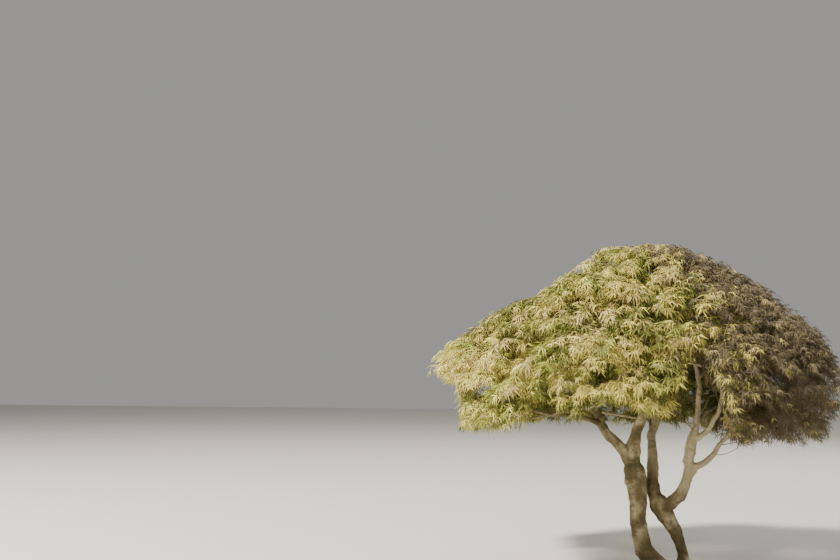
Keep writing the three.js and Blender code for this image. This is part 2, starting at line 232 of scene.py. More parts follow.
def placePads():
    placed = []
    for tierIndex, tier in enumerate(tiers):
        for i in range(tier["count"]):
            draw = seededStream(100 * tierIndex + i)
            bearing = partedBearing(tier, tier["bearing"] + 360 / tier["count"] * i)
            angle = math.radians(bearing + eitherWay(padPlacing["turnSpread"], draw()))
            lift = liftOf(tier, bearing, i) + eitherWay(padPlacing["liftSpread"], draw())
            height = tier["height"] + lift
            ring = tier["ring"] - tier["drawIn"] * lift
            outward = towards(angle)
            centre = middleAt(height)
            centre[0] += ring * outward[0]
            centre[1] += ring * outward[1] * crown["depth"] / crown["side"]
            placed.append({
                "name": f"{tier['name']}_mass_{i + 1}",
                "index": len(placed),
                "isTop": tier["count"] == 1,
                "centre": centre,
                "heart": centre + outward * padPlacing["heartOut"] - up * padPlacing["heartDown"],
                "outward": outward,
                "across": np.cross(up, outward),
                "half": tier["half"],
                "tilt": tier["tilt"],
            })
    return placed


pads = placePads()
hearts = np.array([pad["heart"] for pad in pads])


# a pad keeps to the points that are nearer to its own heart than to any other, give or take the overlap
def insidePad(points, pad, overlap=0.0):
    points = np.atleast_2d(points)
    own = ((points - pad["heart"]) ** 2).sum(axis=1)
    others = np.delete(hearts, pad["index"], axis=0)
    apart = np.linalg.norm(others - pad["heart"], axis=1)
    beyond = ((points[:, None, :] - others[None]) ** 2).sum(axis=2) - own[:, None]
    return insideCrown(points) & (beyond > (padPlacing["gap"] - overlap) * apart).all(axis=1)


def nearestPad(point):
    return pads[int(np.argmin(((hearts - point) ** 2).sum(axis=1)))]


def entryOf(pad):
    toEntry = -padPlacing["entryInward"] * pad["outward"] - padPlacing["entryDown"] * up
    if pad["isTop"]:
        toEntry = np.array(padPlacing["topEntry"])
    share = padPlacing["entryShare"]
    while share > padPlacing["leastEntryShare"]:
        if insidePad(pad["centre"] + toEntry * share * pad["half"][0], pad)[0]:
            break
        share -= 0.04
    return pad["centre"] + toEntry * share * pad["half"][0]


for pad in pads:
    pad["entry"] = entryOf(pad)


# curves are functions of t from 0 to 1 that take one value or many
def smoothThrough(points):
    points = np.array(points, dtype=float)
    ends = np.vstack([2 * points[0] - points[1], points, 2 * points[-1] - points[-2]])

    def at(t):
        place = np.clip(np.asarray(t, dtype=float), 0, 1) * (len(points) - 1)
        first = np.minimum(np.floor(place).astype(int), len(points) - 2)
        w = (place - first)[..., None]
        p0, p1, p2, p3 = (ends[first + k] for k in range(4))
        t0, t1 = 0.5 * (p2 - p0), 0.5 * (p3 - p1)
        return p1 + t0 * w + (-3 * p1 + 3 * p2 - 2 * t0 - t1) * w**2 + (2 * p1 - 2 * p2 + t0 + t1) * w**3

    return at


def bezier(*handles):
    handles = [np.array(h, dtype=float) for h in handles]
    order = len(handles) - 1

    def at(t):
        t = np.asarray(t, dtype=float)[..., None]
        return sum(math.comb(order, k) * (1 - t) ** (order - k) * t**k * h for k, h in enumerate(handles))

    return at


def tangentAt(curve, t):
    return unit(curve(min(t + 1e-4, 1)) - curve(max(t - 1e-4, 0)))


def lengthOf(curve):
    return np.linalg.norm(np.diff(curve(np.linspace(0, 1, 201)), axis=0), axis=1).sum()


def radiusAlong(radii):
    return lambda t: np.interp(t, np.linspace(0, 1, len(radii)), radii)


# stems and main limbs: where each runs, its radius at even steps in metres, and how a stem's root flares
limbPlans = [
    {"name": "left_stem",
     "path": [(0, 0, 0), (-0.038, 0, 0.085), (-0.086, 0, 0.18), (-0.112, 0, 0.345), (-0.108, 0, 0.495),
              (-0.122, 0, 0.64), (-0.134, 0, 0.722), (-0.14, 0, 0.778)],
     "radii": [0.066, 0.061, 0.058, 0.058, 0.061, 0.074, 0.071, 0.046],
     "root": {"flare": 0.9, "bearing": 17}},
    {"name": "right_stem",
     "path": [(0.196, 0.06, 0), (0.202, 0.063, 0.07), (0.187, 0.064, 0.166), (0.146, 0.064, 0.274),
              (0.094, 0.06, 0.37), (0.052, 0.058, 0.446), (0.028, 0.06, 0.5), (0.014, 0.062, 0.536)],
     "radii": [0.036, 0.034, 0.033, 0.043, 0.06, 0.068, 0.06, 0.034],
     "root": {"flare": 1.3, "bearing": 197}},
    {"name": "middle_limb",
     "path": [(-0.134, 0, 0.72), (-0.146, 0.002, 0.82), (-0.128, 0.006, 0.915), (-0.1, 0.006, 1.01),
              (-0.058, 0, 1.105), (0.01, -0.02, 1.24), (0.02, -0.01, 1.48)],
     "radii": [0.058, 0.058, 0.046, 0.04, 0.035, 0.028, 0.02, 0.013],
     "carries": "top_mass_1"},
    {"name": "left_limb",
     "path": [(-0.128, 0, 0.68), (-0.18, -0.01, 0.812), (-0.245, -0.025, 0.9), (-0.312, -0.04, 0.97),
              (-0.36, -0.05, 1.045), (-0.43, -0.06, 1.17)],
     "radii": [0.046, 0.043, 0.038, 0.035, 0.032, 0.026, 0.015],
     "carries": "middle_mass_1"},
    {"name": "back_limb",
     "path": [(0.02, 0.06, 0.486), (0.004, 0.088, 0.6), (0.004, 0.138, 0.745), (0, 0.23, 0.94),
              (0.01, 0.33, 1.15)],
     "radii": [0.047, 0.043, 0.038, 0.032, 0.025, 0.015],
     "carries": "middle_mass_8"},
    {"name": "right_limb",
     "path": [(0.066, 0.06, 0.42), (0.14, 0.026, 0.496), (0.204, 0.004, 0.566), (0.25, -0.002, 0.69)],
     "radii": [0.046, 0.045, 0.042, 0.035]},
    {"name": "upright_limb",
     "path": [(0.244, -0.002, 0.664), (0.257, 0, 0.755), (0.262, 0.004, 0.845), (0.288, 0.008, 0.945),
              (0.318, 0.014, 1.05), (0.336, 0.022, 1.21), (0.334, 0.04, 1.43)],
     "radii": [0.035, 0.033, 0.035, 0.033, 0.022, 0.018, 0.015, 0.012],
     "carries": "upper_mass_3"},
    {"name": "low_right_limb",
     "path": [(0.25, -0.004, 0.672), (0.3, -0.012, 0.742), (0.366, -0.024, 0.784), (0.426, -0.04, 0.842),
              (0.478, -0.048, 0.92)],
     "radii": [0.029, 0.026, 0.023, 0.02, 0.016, 0.012],
     "carries": "skirt_mass_4"},
    {"name": "inner_right_limb",
     "path": [(0.29, 0.008, 0.935), (0.345, -0.002, 0.965), (0.4, -0.02, 1.02), (0.44, -0.05, 1.095),
              (0.48, -0.1, 1.19)],
     "radii": [0.021, 0.02, 0.019, 0.018, 0.016, 0.012],
     "carries": "middle_mass_5"},
]
boughRule = {
    "startRadius": 0.019,
    "endRadius": 0.01,
    "firstFork": 0.3,
    "lastFork": 0.97,
    "forkStep": 0.03,
    "lowestStart": 0.72,
    "below": 0.12,
    "spacing": 0.07,
    "shortest": 0.16,
    "clearance": 0.004,
    "hostClearance": 0.002,
    "startHandle": 0.36,
    "endHandle": 0.34,
}
beadSpacing = 0.015


# a limb is its curve, its radius and a row of beads that stand in for it where something has to keep clear
def makeLimb(name, curve, radii, canFork=True, root=None):
    t = np.linspace(0, 1, math.ceil(lengthOf(curve) / beadSpacing) + 1)
    radiusAt = radiusAlong(radii)
    return {
        "name": name,
        "curve": curve,
        "radiusAt": radiusAt,
        "beads": curve(t),
        "beadRadii": radiusAt(t),
        "root": root,
        "canFork": canFork,
        "forks": [],
    }


def planLimb(plan):
    path = [np.array(p, dtype=float) for p in plan["path"]]
    if "carries" in plan:
        pad = named(pads, plan["carries"])
        pad["entryDirection"] = unit(pad["entry"] - path[-1])
        pad["stemRadius"] = plan["radii"][-1]
        path.append(pad["entry"])
    canFork = not plan["name"].endswith("stem")
    return makeLimb(plan["name"], smoothThrough(path), plan["radii"], canFork, plan.get("root"))


def boughCurve(host, t, pad):
    start, end = host["curve"](t), pad["entry"]
    length = np.linalg.norm(end - start)
    straight = unit(end - start)
    heading = unit(mix(tangentAt(host["curve"], t), straight, 0.72))
    arrival = unit(mix(pad["outward"] + 0.35 * up, straight, 0.5))
    pad["entryDirection"] = arrival
    afterStart = start + heading * boughRule["startHandle"] * length
    return bezier(start, afterStart, end - arrival * boughRule["endHandle"] * length, end)


# the places where a bough could leave a limb, cheapest first: near, below its pad and not crowded
def boughOrigins(pad, limbs):
    origins = []
    for host in limbs:
        t = boughRule["firstFork"]
        while host["canFork"] and t <= boughRule["lastFork"]:
            start = host["curve"](t)
            reach = np.linalg.norm(start - pad["entry"])
            tooHigh = max(start[2] - pad["entry"][2] + boughRule["below"], 0)
            tooLow = max(boughRule["lowestStart"] - start[2], 0)
            tooNear = max(boughRule["shortest"] - reach, 0)
            crowded = any(abs(fork - t) < boughRule["spacing"] for fork in host["forks"])
            cost = reach + 1.2 * tooHigh + 2 * tooLow + 3 * tooNear + (0.26 if crowded else 0)
            origins.append((cost, len(origins), host, t))
            t += boughRule["forkStep"]
    return sorted(origins, key=lambda origin: origin[:2])


def passesClear(curve, host, limbs):
    points = curve(np.linspace(0, 1, 15))[3:]
    ownRoom = boughRule["startRadius"] + boughRule["clearance"]
    for limb in limbs:
        room = limb["beadRadii"] + (boughRule["hostClearance"] if limb is host else ownRoom)
        distance = np.linalg.norm(points[:, None] - limb["beads"][None], axis=2)
        if (distance <= room).any():
            return False
    return True


def planBough(pad, limbs):
    origins = boughOrigins(pad, limbs)
    best = next((o for o in origins if passesClear(boughCurve(o[2], o[3], pad), o[2], limbs)), origins[0])
    host, t = best[2:]
    host["forks"].append(t)
    thickest = min(boughRule["startRadius"], 0.8 * float(host["radiusAt"](t)))
    pad["stemRadius"] = min(boughRule["endRadius"], 0.9 * thickest)
    radii = [thickest, mix(thickest, pad["stemRadius"], 0.6), pad["stemRadius"]]
    return makeLimb(pad["name"].replace("mass", "bough"), boughCurve(host, t, pad), radii)


limbs = [planLimb(plan) for plan in limbPlans]
mainLimbCount = len(limbs)
for pad in pads:
    if "entryDirection" not in pad:
        limbs.append(planBough(pad, limbs))
missing = {limb["name"] for limb in limbs} - set(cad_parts)
report(f"{len(limbs)} limbs and {len(pads)} leaf pads planned, not in the model: {sorted(missing)}")

beadTree = KDTree(sum(len(limb["beads"]) for limb in limbs))
beadRadius, beadPlace = [], []
for limbIndex, limb in enumerate(limbs):
    for i, bead in enumerate(limb["beads"]):
        beadTree.insert(bead, len(beadRadius))
        beadRadius.append(limb["beadRadii"][i])
        beadPlace.append((limbIndex, i))
beadTree.balance()


def insideBox(points, grow):
    return ((points >= np.array(cadLow) - grow) & (points <= np.array(cadHigh) + grow)).all(axis=-1)


def clearOfLimbs(points, room):
    result = np.empty(len(points), dtype=bool)
    for i, point in enumerate(points):
        _, index, distance = beadTree.find(point)
        result[i] = distance > beadRadius[index] + room
    return result


# mesh making
def addMesh(name, verts, faces, material, smooth=True):
    mesh = bpy.data.meshes.new(name)
    sizes = [len(block) for block in faces]
    corners = np.concatenate([block.ravel() for block in faces])
    mesh.vertices.add(len(verts))
    mesh.vertices.foreach_set("co", np.asarray(verts, dtype=np.float32).ravel())
    mesh.loops.add(len(corners))
    mesh.loops.foreach_set("vertex_index", corners.astype(np.int32))
    starts = []
    offset = 0
    for block, size in zip(faces, sizes):
        width = block.shape[1]
        starts.append(offset + np.arange(size) * width)
        offset += size * width
    mesh.polygons.add(sum(sizes))
    mesh.polygons.foreach_set("loop_start", np.concatenate(starts).astype(np.int32))
    mesh.update(calc_edges=True)
    mesh.validate()
    if smooth:
        mesh.shade_smooth()
    mesh.materials.append(material)
    piece = bpy.data.objects.new(name, mesh)
    bpy.context.scene.collection.objects.link(piece)
    return piece


# rings that turn as little as they can along the path
def ringFrames(points):
    tangents = units(np.gradient(points, axis=0))
    side = unit(np.cross(tangents[0], (0.31, 0.95, 0.05)))
    sides = [side]
    for tangent in tangents[1:]:
        side = unit(side - tangent * side.dot(tangent))
        sides.append(side)
    sides = np.array(sides)
    return sides, np.cross(tangents, sides)


def ringDirections(points, sides):
    a, b = ringFrames(points)
    angles = np.arange(sides) / sides * 2 * math.pi
    return np.cos(angles)[None, :, None] * a[:, None] + np.sin(angles)[None, :, None] * b[:, None]


def tube(points, radii, sides, closed=True):
    radii = radii if radii.ndim == 2 else np.repeat(radii[:, None], sides, axis=1)
    verts = (points[:, None] + radii[..., None] * ringDirections(points, sides)).reshape(-1, 3)
    step = np.arange(len(points) - 1)[:, None] * sides
    k = np.arange(sides)[None]
    nextK = (k + 1) % sides
    corners = [step + k, step + nextK, step + sides + nextK, step + sides + k]
    quads = np.stack(corners, axis=-1).reshape(-1, 4)
    tris = []
    if closed:
        verts = np.vstack([verts, points[0], points[-1]])
        first, last = len(verts) - 2, len(verts) - 1
        end = (len(points) - 1) * sides
        for i in range(sides):
            j = (i + 1) % sides
            tris += [(first, j, i), (last, end + i, end + j)]
    return verts, quads, np.array(tris, dtype=int).reshape(-1, 3)


# a fine twig that ends in a point
def pointedTube(points, radii, sides):
    verts, quads, _ = tube(points[:-1], radii[:-1], sides, closed=False)
    last = len(verts) - sides
    fan = [(last + i, last + (i + 1) % sides, len(verts)) for i in range(sides)]
    cap = [(0, i + 1, i) for i in range(1, sides - 1)]
    return np.vstack([verts, points[-1]]), quads, np.array(fan + cap)


# a stem swells into its roots in three lobes
def rootSwell(limb, angle, height):
    if not limb["root"]:
        return np.ones_like(angle)
    lobes = 1 + 0.35 * np.cos(3 * (angle - math.radians(limb["root"]["bearing"])))
    return 1 + limb["root"]["flare"] * np.exp(-height / 0.055) * lobes


woodShape = {
    "ringStep": 0.008,
    "sides": 28,
    "voxel": 0.0064,
    "soften": 1,
    "fuller": 1.04,
    "wander": 0.09,
    "wanderSize": 0.085,
    "wanderOut": 0.03,
    "knots": {  # for each limb: share along it, bearing, how proud, how wide
        "left_stem": [(0.2, 182, 0.016, 0.03), (0.24, 10, -0.008, 0.04), (0.86, 250, 0.014, 0.04),
                      (0.52, 300, 0.008, 0.025), (0.7, 185, 0.009, 0.03), (0.64, 5, 0.006, 0.05),
                      (0.78, 5, 0.007, 0.05)],
        "back_limb": [(0.1, 180, 0.009, 0.05), (0.24, 180, 0.008, 0.05), (0.38, 180, 0.006, 0.04)],
        "right_stem": [(0.45, 20, 0.009, 0.03), (0.72, 200, 0.012, 0.035), (0.8, 330, 0.014, 0.03)],
        "middle_limb": [(0.09, 170, 0.014, 0.03), (0.19, 10, 0.012, 0.03), (0.3, 330, 0.008, 0.02)],
        "left_limb": [(0.25, 60, 0.01, 0.025), (0.42, 240, 0.009, 0.022), (0.62, 60, 0.007, 0.02)],
        "right_limb": [(0.4, 300, 0.009, 0.025), (0.85, 250, 0.011, 0.022)],
        "upright_limb": [(0.12, 10, 0.009, 0.022), (0.2, 190, 0.012, 0.03), (0.28, 330, 0.01, 0.026),
                         (0.44, 180, 0.007, 0.02)],
        "low_right_limb": [(0.3, 110, 0.006, 0.018), (0.62, 280, 0.006, 0.016)],
        "inner_right_limb": [(0.4, 280, 0.006, 0.016)],
    },
}


def limbTube(limb, shape):
    count = max(int(lengthOf(limb["curve"]) / shape["ringStep"]), 6)
    t = np.linspace(0, 1, count + 1)
    points = limb["curve"](t)
    out = ringDirections(points, shape["sides"])
    bearing = np.arctan2(out[..., 1], out[..., 0])
    radii = shape["fuller"] * limb["radiusAt"](t)[:, None] * rootSwell(limb, bearing, points[:, 2][:, None])
    for i, k in np.ndindex(radii.shape):
        place = (points[i] + out[i, k] * shape["wanderOut"]) / shape["wanderSize"]
        radii[i, k] *= 1 + shape["wander"] * noiseAt(place)
    for at, knotBearing, proud, wide in shape["knots"].get(limb["name"], ()):
        knot = limb["curve"](at) + float(limb["radiusAt"](at)) * towards(math.radians(knotBearing))
        surface = points[:, None] + out * radii[..., None]
        radii += proud * np.exp(-(((surface - knot) ** 2).sum(axis=2)) / wide**2)
    verts, quads, tris = tube(points, radii, shape["sides"])
    verts[:, 2] = np.maximum(verts[:, 2], 0)
    return verts, quads, tris


def joined(parts):
    verts, quads, tris, offset = [], [], [], 0
    for v, q, f in parts:
        verts.append(v)
        quads.append(q + offset)
        tris.append(f + offset)
        offset += len(v)
    return np.vstack(verts), np.vstack(quads), np.vstack(tris)


# fine lengthwise wrinkles, broken cross ledges every few centimetres, lumps and long flutes in the surface
barkRelief = {"wrinkle": 0.0018, "ledge": 0.0034, "lump": 0.0034, "flute": 0.004}
boughRelief = {"wrinkle": 0.0006, "ledge": 0.001, "lump": 0.001, "flute": 0.0008}
# how closely each of them repeats, around and along a limb
barkWaves = {
    "grain": (2.4, 2.4, 14),
    "wrinkle": (3.2, 3.2, 1.0),
    "ledge": (0.35, 0.35, 2.6),
    "flute": (0.6, 0.6, 0.25),
    "lump": 17,
    "limbApart": 3.7,
}
# painted sunlight: the limbs to the right and the back are made paler where the sun falls on them, from
# where to where it sets in
paintedSunPlace = {
    "right": (0.12, 0.24),
    "rightHeight": (0.5, 0.62),
    "back": (0.06, 0.1),
    "backHeight": (0.5, 0.58),
    "backShare": 0.75,
}


def limbCoordinates(verts):
    around, along = np.empty(len(verts)), np.empty(len(verts))
    frames = [ringFrames(limb["beads"]) for limb in limbs]
    starts = []
    for limb in limbs:
        steps = np.linalg.norm(np.diff(limb["beads"], axis=0), axis=1)
        starts.append(np.concatenate([[0], np.cumsum(steps)]))
    for i, v in enumerate(verts):
        _, index, _ = beadTree.find(v)
        limbIndex, k = beadPlace[index]
        a, b = frames[limbIndex]
        offset = v - limbs[limbIndex]["beads"][k]
        around[i] = math.atan2(offset.dot(b[k]), offset.dot(a[k]))
        tangent = np.cross(a[k], b[k])
        along[i] = starts[limbIndex][k] + offset.dot(tangent) + limbIndex * barkWaves["limbApart"]
    return around, along


def waveAt(grain, kind):
    return noiseAt(grain * barkWaves[kind])


def addAttribute(mesh, name, kind, field, values):
    attribute = mesh.attributes.new(name, kind, "POINT")
    attribute.data.foreach_set(field, values.astype(np.float32).ravel())


def carveBark(piece, relief):
    mesh = piece.data
    count = len(mesh.vertices)
    verts, normals = np.empty((2, count * 3), dtype=np.float32)
    mesh.vertices.foreach_get("co", verts)
    mesh.vertices.foreach_get("normal", normals)
    verts, normals = verts.reshape(-1, 3).astype(float), normals.reshape(-1, 3)
    around, along = limbCoordinates(verts)
    grain = np.stack([np.cos(around), np.sin(around), along], axis=1) * barkWaves["grain"]
    push = np.empty(count)
    for i, g in enumerate(grain):
        ledge = smoothstep(waveAt(g, "ledge"), 0.12, 0.4)
        push[i] = (-relief["wrinkle"] * abs(waveAt(g, "wrinkle")) * 2 + relief["ledge"] * (ledge - 0.3)
                   + relief["lump"] * waveAt(verts[i], "lump") + relief["flute"] * waveAt(g, "flute"))
    verts += normals * push[:, None]
    verts[:, 2] = np.maximum(verts[:, 2], 0)
    mesh.vertices.foreach_set("co", verts.astype(np.float32).ravel())
    x, y, z = verts.T
    # painted sunlight: the limbs to the right and the back are marked in the pale attribute
    sunlit = paintedSunPlace
    onRight = smoothstep(x, *sunlit["right"]) * smoothstep(z, *sunlit["rightHeight"])
    onBack = sunlit["backShare"] * smoothstep(y, *sunlit["back"]) * smoothstep(z, *sunlit["backHeight"])
    addAttribute(mesh, "grain", "FLOAT_VECTOR", "vector", grain)
    addAttribute(mesh, "pale", "FLOAT", "value", np.maximum(onRight, onBack))
    mesh.update()


# a colour as a screen shows it, in the linear values that a material takes
def srgb(r, g, b):
    return tuple(((c + 0.055) / 1.055) ** 2.4 if c > 0.04045 else c / 12.92 for c in (r, g, b)) + (1,)


def newMaterial(name):
    material = bpy.data.materials.new(name)
    material.use_nodes = True
    return material, material.node_tree, material.node_tree.nodes["Principled BSDF"]


# smooth greyish beige bark with darker lengthwise streaks and random pale and olive patches, which are
# partly painted dappled sunlight and shade, and painted shade that darkens the hollows and crotches
barkLook = {
    # pale bark tone that also paints sunlit flecks
    "ridge": srgb(0.82, 0.76, 0.60),
    "skin": srgb(0.54, 0.475, 0.335),
    # olive that also paints the shade between the sunlit flecks
    "olive": srgb(0.37, 0.335, 0.205),
    # painted shade for the hollows and crotches
    "hollow": srgb(0.20, 0.16, 0.09),
    "streak": srgb(0.37, 0.31, 0.20),
    "ring": srgb(0.22, 0.17, 0.10),
    # painted sunlight on the limbs to the right and the back
    "youngWood": srgb(0.92, 0.86, 0.70),
    "patchShare": 0.55,
    "ringShare": 0.45,
    "hollowShare": 0.5,
    "youngShare": 0.42,
    "patchSize": 7,
    "streakSize": 0.9,
    "ringSize": 1.6,
    "ringStretch": (0.25, 0.25, 1.4),
    "poreSize": 260,
    "poreDepth": 0.0015,
    "poreStrength": 0.35,
    "roughness": 0.78,
    "specular": 0.25,
}
black, white = (0, 0, 0, 1), (1, 1, 1, 1)


def ramp(tree, value, stops):
    node = tree.nodes.new("ShaderNodeValToRGB")
    elements = node.color_ramp.elements
    while len(elements) < len(stops):
        elements.new(0.5)
    for element, (place, colour) in zip(elements, stops):
        element.position = place
        element.color = colour
    tree.links.new(value, node.inputs["Fac"])
    return node.outputs["Color"]


def noiseNode(tree, coordinates, scale, detail):
    node = tree.nodes.new("ShaderNodeTexNoise")
    node.inputs["Scale"].default_value = scale
    node.inputs["Detail"].default_value = detail
    tree.links.new(coordinates, node.inputs["Vector"])
    return node.outputs["Fac"]


def attributeNode(tree, name):
    node = tree.nodes.new("ShaderNodeAttribute")
    node.attribute_name = name
    return node


def mixColours(tree, share, a, b):
    node = tree.nodes.new("ShaderNodeMix")
    node.data_type = "RGBA"
    for socket, value in ((node.inputs["Factor"], share), (node.inputs[6], a), (node.inputs[7], b)):
        if isinstance(value, (float, tuple)):
            socket.default_value = value
        else:
            tree.links.new(value, socket)
    return node.outputs[2]


def barkMaterial(look):
    material, tree, shader = newMaterial("paleBark")
    place = tree.nodes.new("ShaderNodeTexCoord").outputs["Object"]
    grain = attributeNode(tree, "grain").outputs["Vector"]
    # random patches from an olive shade colour through the bark's tone to a pale sunlit one: partly the
    # bark's own varying tone, partly painted dappled sunlight and shade
    patches = ramp(tree, noiseNode(tree, place, look["patchSize"], 4), [
        (0.32, look["olive"]), (0.5, look["skin"]), (0.66, look["ridge"])])
    streaks = ramp(tree, noiseNode(tree, grain, look["streakSize"], 6), [(0.38, white), (0.62, black)])
    colour = mixColours(tree, streaks, look["streak"], patches)
    colour = mixColours(tree, look["patchShare"], colour, patches)
    squash = tree.nodes.new("ShaderNodeMapping")
    squash.inputs["Scale"].default_value = look["ringStretch"]
    tree.links.new(grain, squash.inputs["Vector"])
    ringNoise = noiseNode(tree, squash.outputs["Vector"], look["ringSize"], 3)
    rings = ramp(tree, ringNoise, [(0.60, black), (0.70, white)])
    ringed = mixColours(tree, rings, colour, look["ring"])
    colour = mixColours(tree, look["ringShare"], colour, ringed)
    # painted shade: where the surface curves in, at hollows and crotches, the colour is darkened
    geometry = tree.nodes.new("ShaderNodeNewGeometry")
    outsideHollowShade = ramp(tree, geometry.outputs["Pointiness"], [(0.46, black), (0.56, white)])
    shadedHollows = mixColours(tree, outsideHollowShade, look["hollow"], colour)
    colour = mixColours(tree, look["hollowShare"], colour, shadedHollows)
    # painted sunlight: the marked limbs are mixed towards a paler bark colour
    sunlit = attributeNode(tree, "pale").outputs["Fac"]
    paintedLighter = mixColours(tree, look["youngShare"], colour, look["youngWood"])
    colour = mixColours(tree, sunlit, colour, paintedLighter)
    tree.links.new(colour, shader.inputs["Base Color"])
    shader.inputs["Roughness"].default_value = look["roughness"]
    shader.inputs["Specular IOR Level"].default_value = look["specular"]
    bump = tree.nodes.new("ShaderNodeBump")
    bump.inputs["Strength"].default_value = look["poreStrength"]
    bump.inputs["Distance"].default_value = look["poreDepth"]
    tree.links.new(noiseNode(tree, place, look["poreSize"], 2), bump.inputs["Height"])
    tree.links.new(bump.outputs["Normal"], shader.inputs["Normal"])
    return material


def plainMaterial(name, colour, roughness, specular=0.3):
    material, _, shader = newMaterial(name)
    shader.inputs["Base Color"].default_value = colour
    shader.inputs["Roughness"].default_value = roughness
    shader.inputs["Specular IOR Level"].default_value = specular
    return material


bark = barkMaterial(barkLook)


def buildMainLimbs(shape):
    verts, quads, tris = joined([limbTube(limb, shape) for limb in limbs[:mainLimbCount]])
    piece = addMesh("stems_and_limbs", verts, [quads, tris], bark)
    remesh = piece.modifiers.new("blend the forks", "REMESH")
    remesh.mode = "VOXEL"
    remesh.voxel_size = shape["voxel"]
    smooth = piece.modifiers.new("soften", "SMOOTH")
    smooth.factor = 0.5
    smooth.iterations = shape["soften"]
    graph = bpy.context.evaluated_depsgraph_get()
    mesh = bpy.data.meshes.new_from_object(piece.evaluated_get(graph))
    piece.modifiers.clear()
    piece.data = mesh
    mesh.shade_smooth()
    carveBark(piece, barkRelief)
    return piece


stemsAndLimbs = buildMainLimbs(woodShape)
report(f"stems and limbs: {len(stemsAndLimbs.data.polygons)} faces")

# boughs widen into a collar where they leave their limb, and waver a little on their way
boughShape = {
    "ringStep": 0.014,
    "sides": 10,
    "collar": 0.45,
    "collarFrom": 0.03,
    "collarLength": 0.035,
    "wander": 0.09,
    "wanderWaves": 22,
}


def boughTube(limb, shape):
    length = lengthOf(limb["curve"])
    t = np.linspace(0, 1, int(length / shape["ringStep"]) + 1)
    points = limb["curve"](t)
    pastCollar = np.maximum(t * length - shape["collarFrom"], 0)
    radii = limb["radiusAt"](t) * (1 + shape["collar"] * np.exp(-pastCollar / shape["collarLength"]))
    lumps = [noiseAt(p * shape["wanderWaves"]) for p in points]
    return tube(points, radii * (1 + shape["wander"] * np.array(lumps)), shape["sides"])


def buildBoughs(shape):
    verts, quads, tris = joined([boughTube(limb, shape) for limb in limbs[mainLimbCount:]])
    piece = addMesh("boughs", verts, [quads, tris], bark)
    carveBark(piece, boughRelief)
    return piece


boughs = buildBoughs(boughShape)
report(f"boughs: {len(boughs.data.polygons)} faces")

# the hem: how low foliage hangs, by place from left to right as the camera sees it across the stems. Behind
# them one height does for a stretch of the crown.
hem = {
    "x": (-1.75, -1.45, -1.43, -0.97, -0.9, -0.85, -0.7, -0.6, -0.5, -0.42, -0.12, -0.02, 0.2, 0.26, 0.32,
          0.38, 0.45, 0.6, 0.75, 1.05, 1.3),
    "lowest": (1.4, 1.32, 0.96, 0.94, 1.03, 1.16, 1.15, 1.05, 1.06, 1.17, 1.15, 1.07, 1.06, 1.16, 1.05,
               0.98, 0.92, 0.88, 0.86, 0.86, 0.94),
    "behind": 0.97,
    "behindFrom": 0.3,
    "behindStretch": (-1.2, 0.3),
    "ragged": 0.04,
    "waves": 5,
}
# the left shoulder: how high foliage stands, by place from left to right as the camera sees it
shoulder = {
    "x": (-1.75, -1.55, -1.27, -1.11, -0.88, -0.5, -0.34, -0.1),
    "highest": (1.35, 1.61, 1.785, 1.86, 1.965, 2.23, 2.33, 2.5),
}
# a slot in the front of the crown through which the upright limb shows: how far left and right, by height
opening = {
    "z": (1.0, 1.24, 1.32, 1.5, 1.56, 1.57),
    "left": (0.235, 0.235, 0.235, 0.25, 0.28, 0.34),
    "right": (0.56, 0.54, 0.44, 0.42, 0.38, 0.34),
    "front": 0.02,
    "ragged": 0.05,
}


# where a point shows, as the camera sees it across the stems
def seenAt(points):
    nearer = -photoView["eye"][1] / (points[..., 1] - photoView["eye"][1])
    return points[..., 0] * nearer, photoView["eye"][2] + (points[..., 2] - photoView["eye"][2]) * nearer


def openPlaces(points):
    wave = np.array([noiseAt(p * hem["waves"]) for p in points])
    ragged = hem["ragged"] * wave
    x, y, z = points.T
    seenX, seenZ = seenAt(points)
    leftEnd, rightEnd = hem["behindStretch"]
    isBehind = (y > hem["behindFrom"]) & (x > leftEnd) & (x < rightEnd)
    lowest = np.interp(seenX, hem["x"], hem["lowest"]) + ragged
    aboveHem = np.where(isBehind, z > hem["behind"] + ragged, seenZ > lowest)
    belowShoulder = seenZ < np.interp(seenX, shoulder["x"], shoulder["highest"]) + ragged
    left, right = (np.interp(seenZ, opening["z"], opening[side]) for side in ("left", "right"))
    w = opening["ragged"] * wave
    inSlot = (seenX > left + w) & (seenX < right + w) & (y < opening["front"])
    return aboveHem & belowShoulder & ~inSlot


# twigs fan out under each pad's domed top, side twigs alternate along them, leaves sit in pairs
sprays = {
    "twigsPerPad": 12,
    "topTwigs": 12,
    "fan": 108,
    "arch": 0.12,
    "droops": (0, 0.08, 0.16, 0.04, 0.12, 0.2),
    "edgeRoom": 0.035,
    "twigRadii": (0.0048, 0.0019),
    "sideEvery": 0.045,
    "sideLength": (0.11, 0.2),
    "sideTurn": (38, 66),
    "sideSag": (0.15, 0.75),
    "sideRadii": (0.002, 0.001),
    "leafEvery": 0.032,
    "limbClearance": 0.008,
    "leafRoom": 0.03,
    "boxRoom": 0.02,
    "shadedSize": 1.18,
    "domeRise": 0.8,
    "domeFall": 0.85,
    "skinOut": 0.07,
    "skinDown": 0.024,
    "stemReach": 0.35,
    "stemSink": 0.22,
    "twigReach": (0.86, 1.0),
    "leastReach": 0.35,
    "stemEndRadius": 0.005,
    "padOverlap": 0.05,
}


def leavesFit(points):
    return openPlaces(points - up * sprays["leafRoom"])


def keepsClear(twig):
    return clearOfLimbs(twig(np.linspace(0.3, 1, 8)), sprays["limbClearance"]).all()


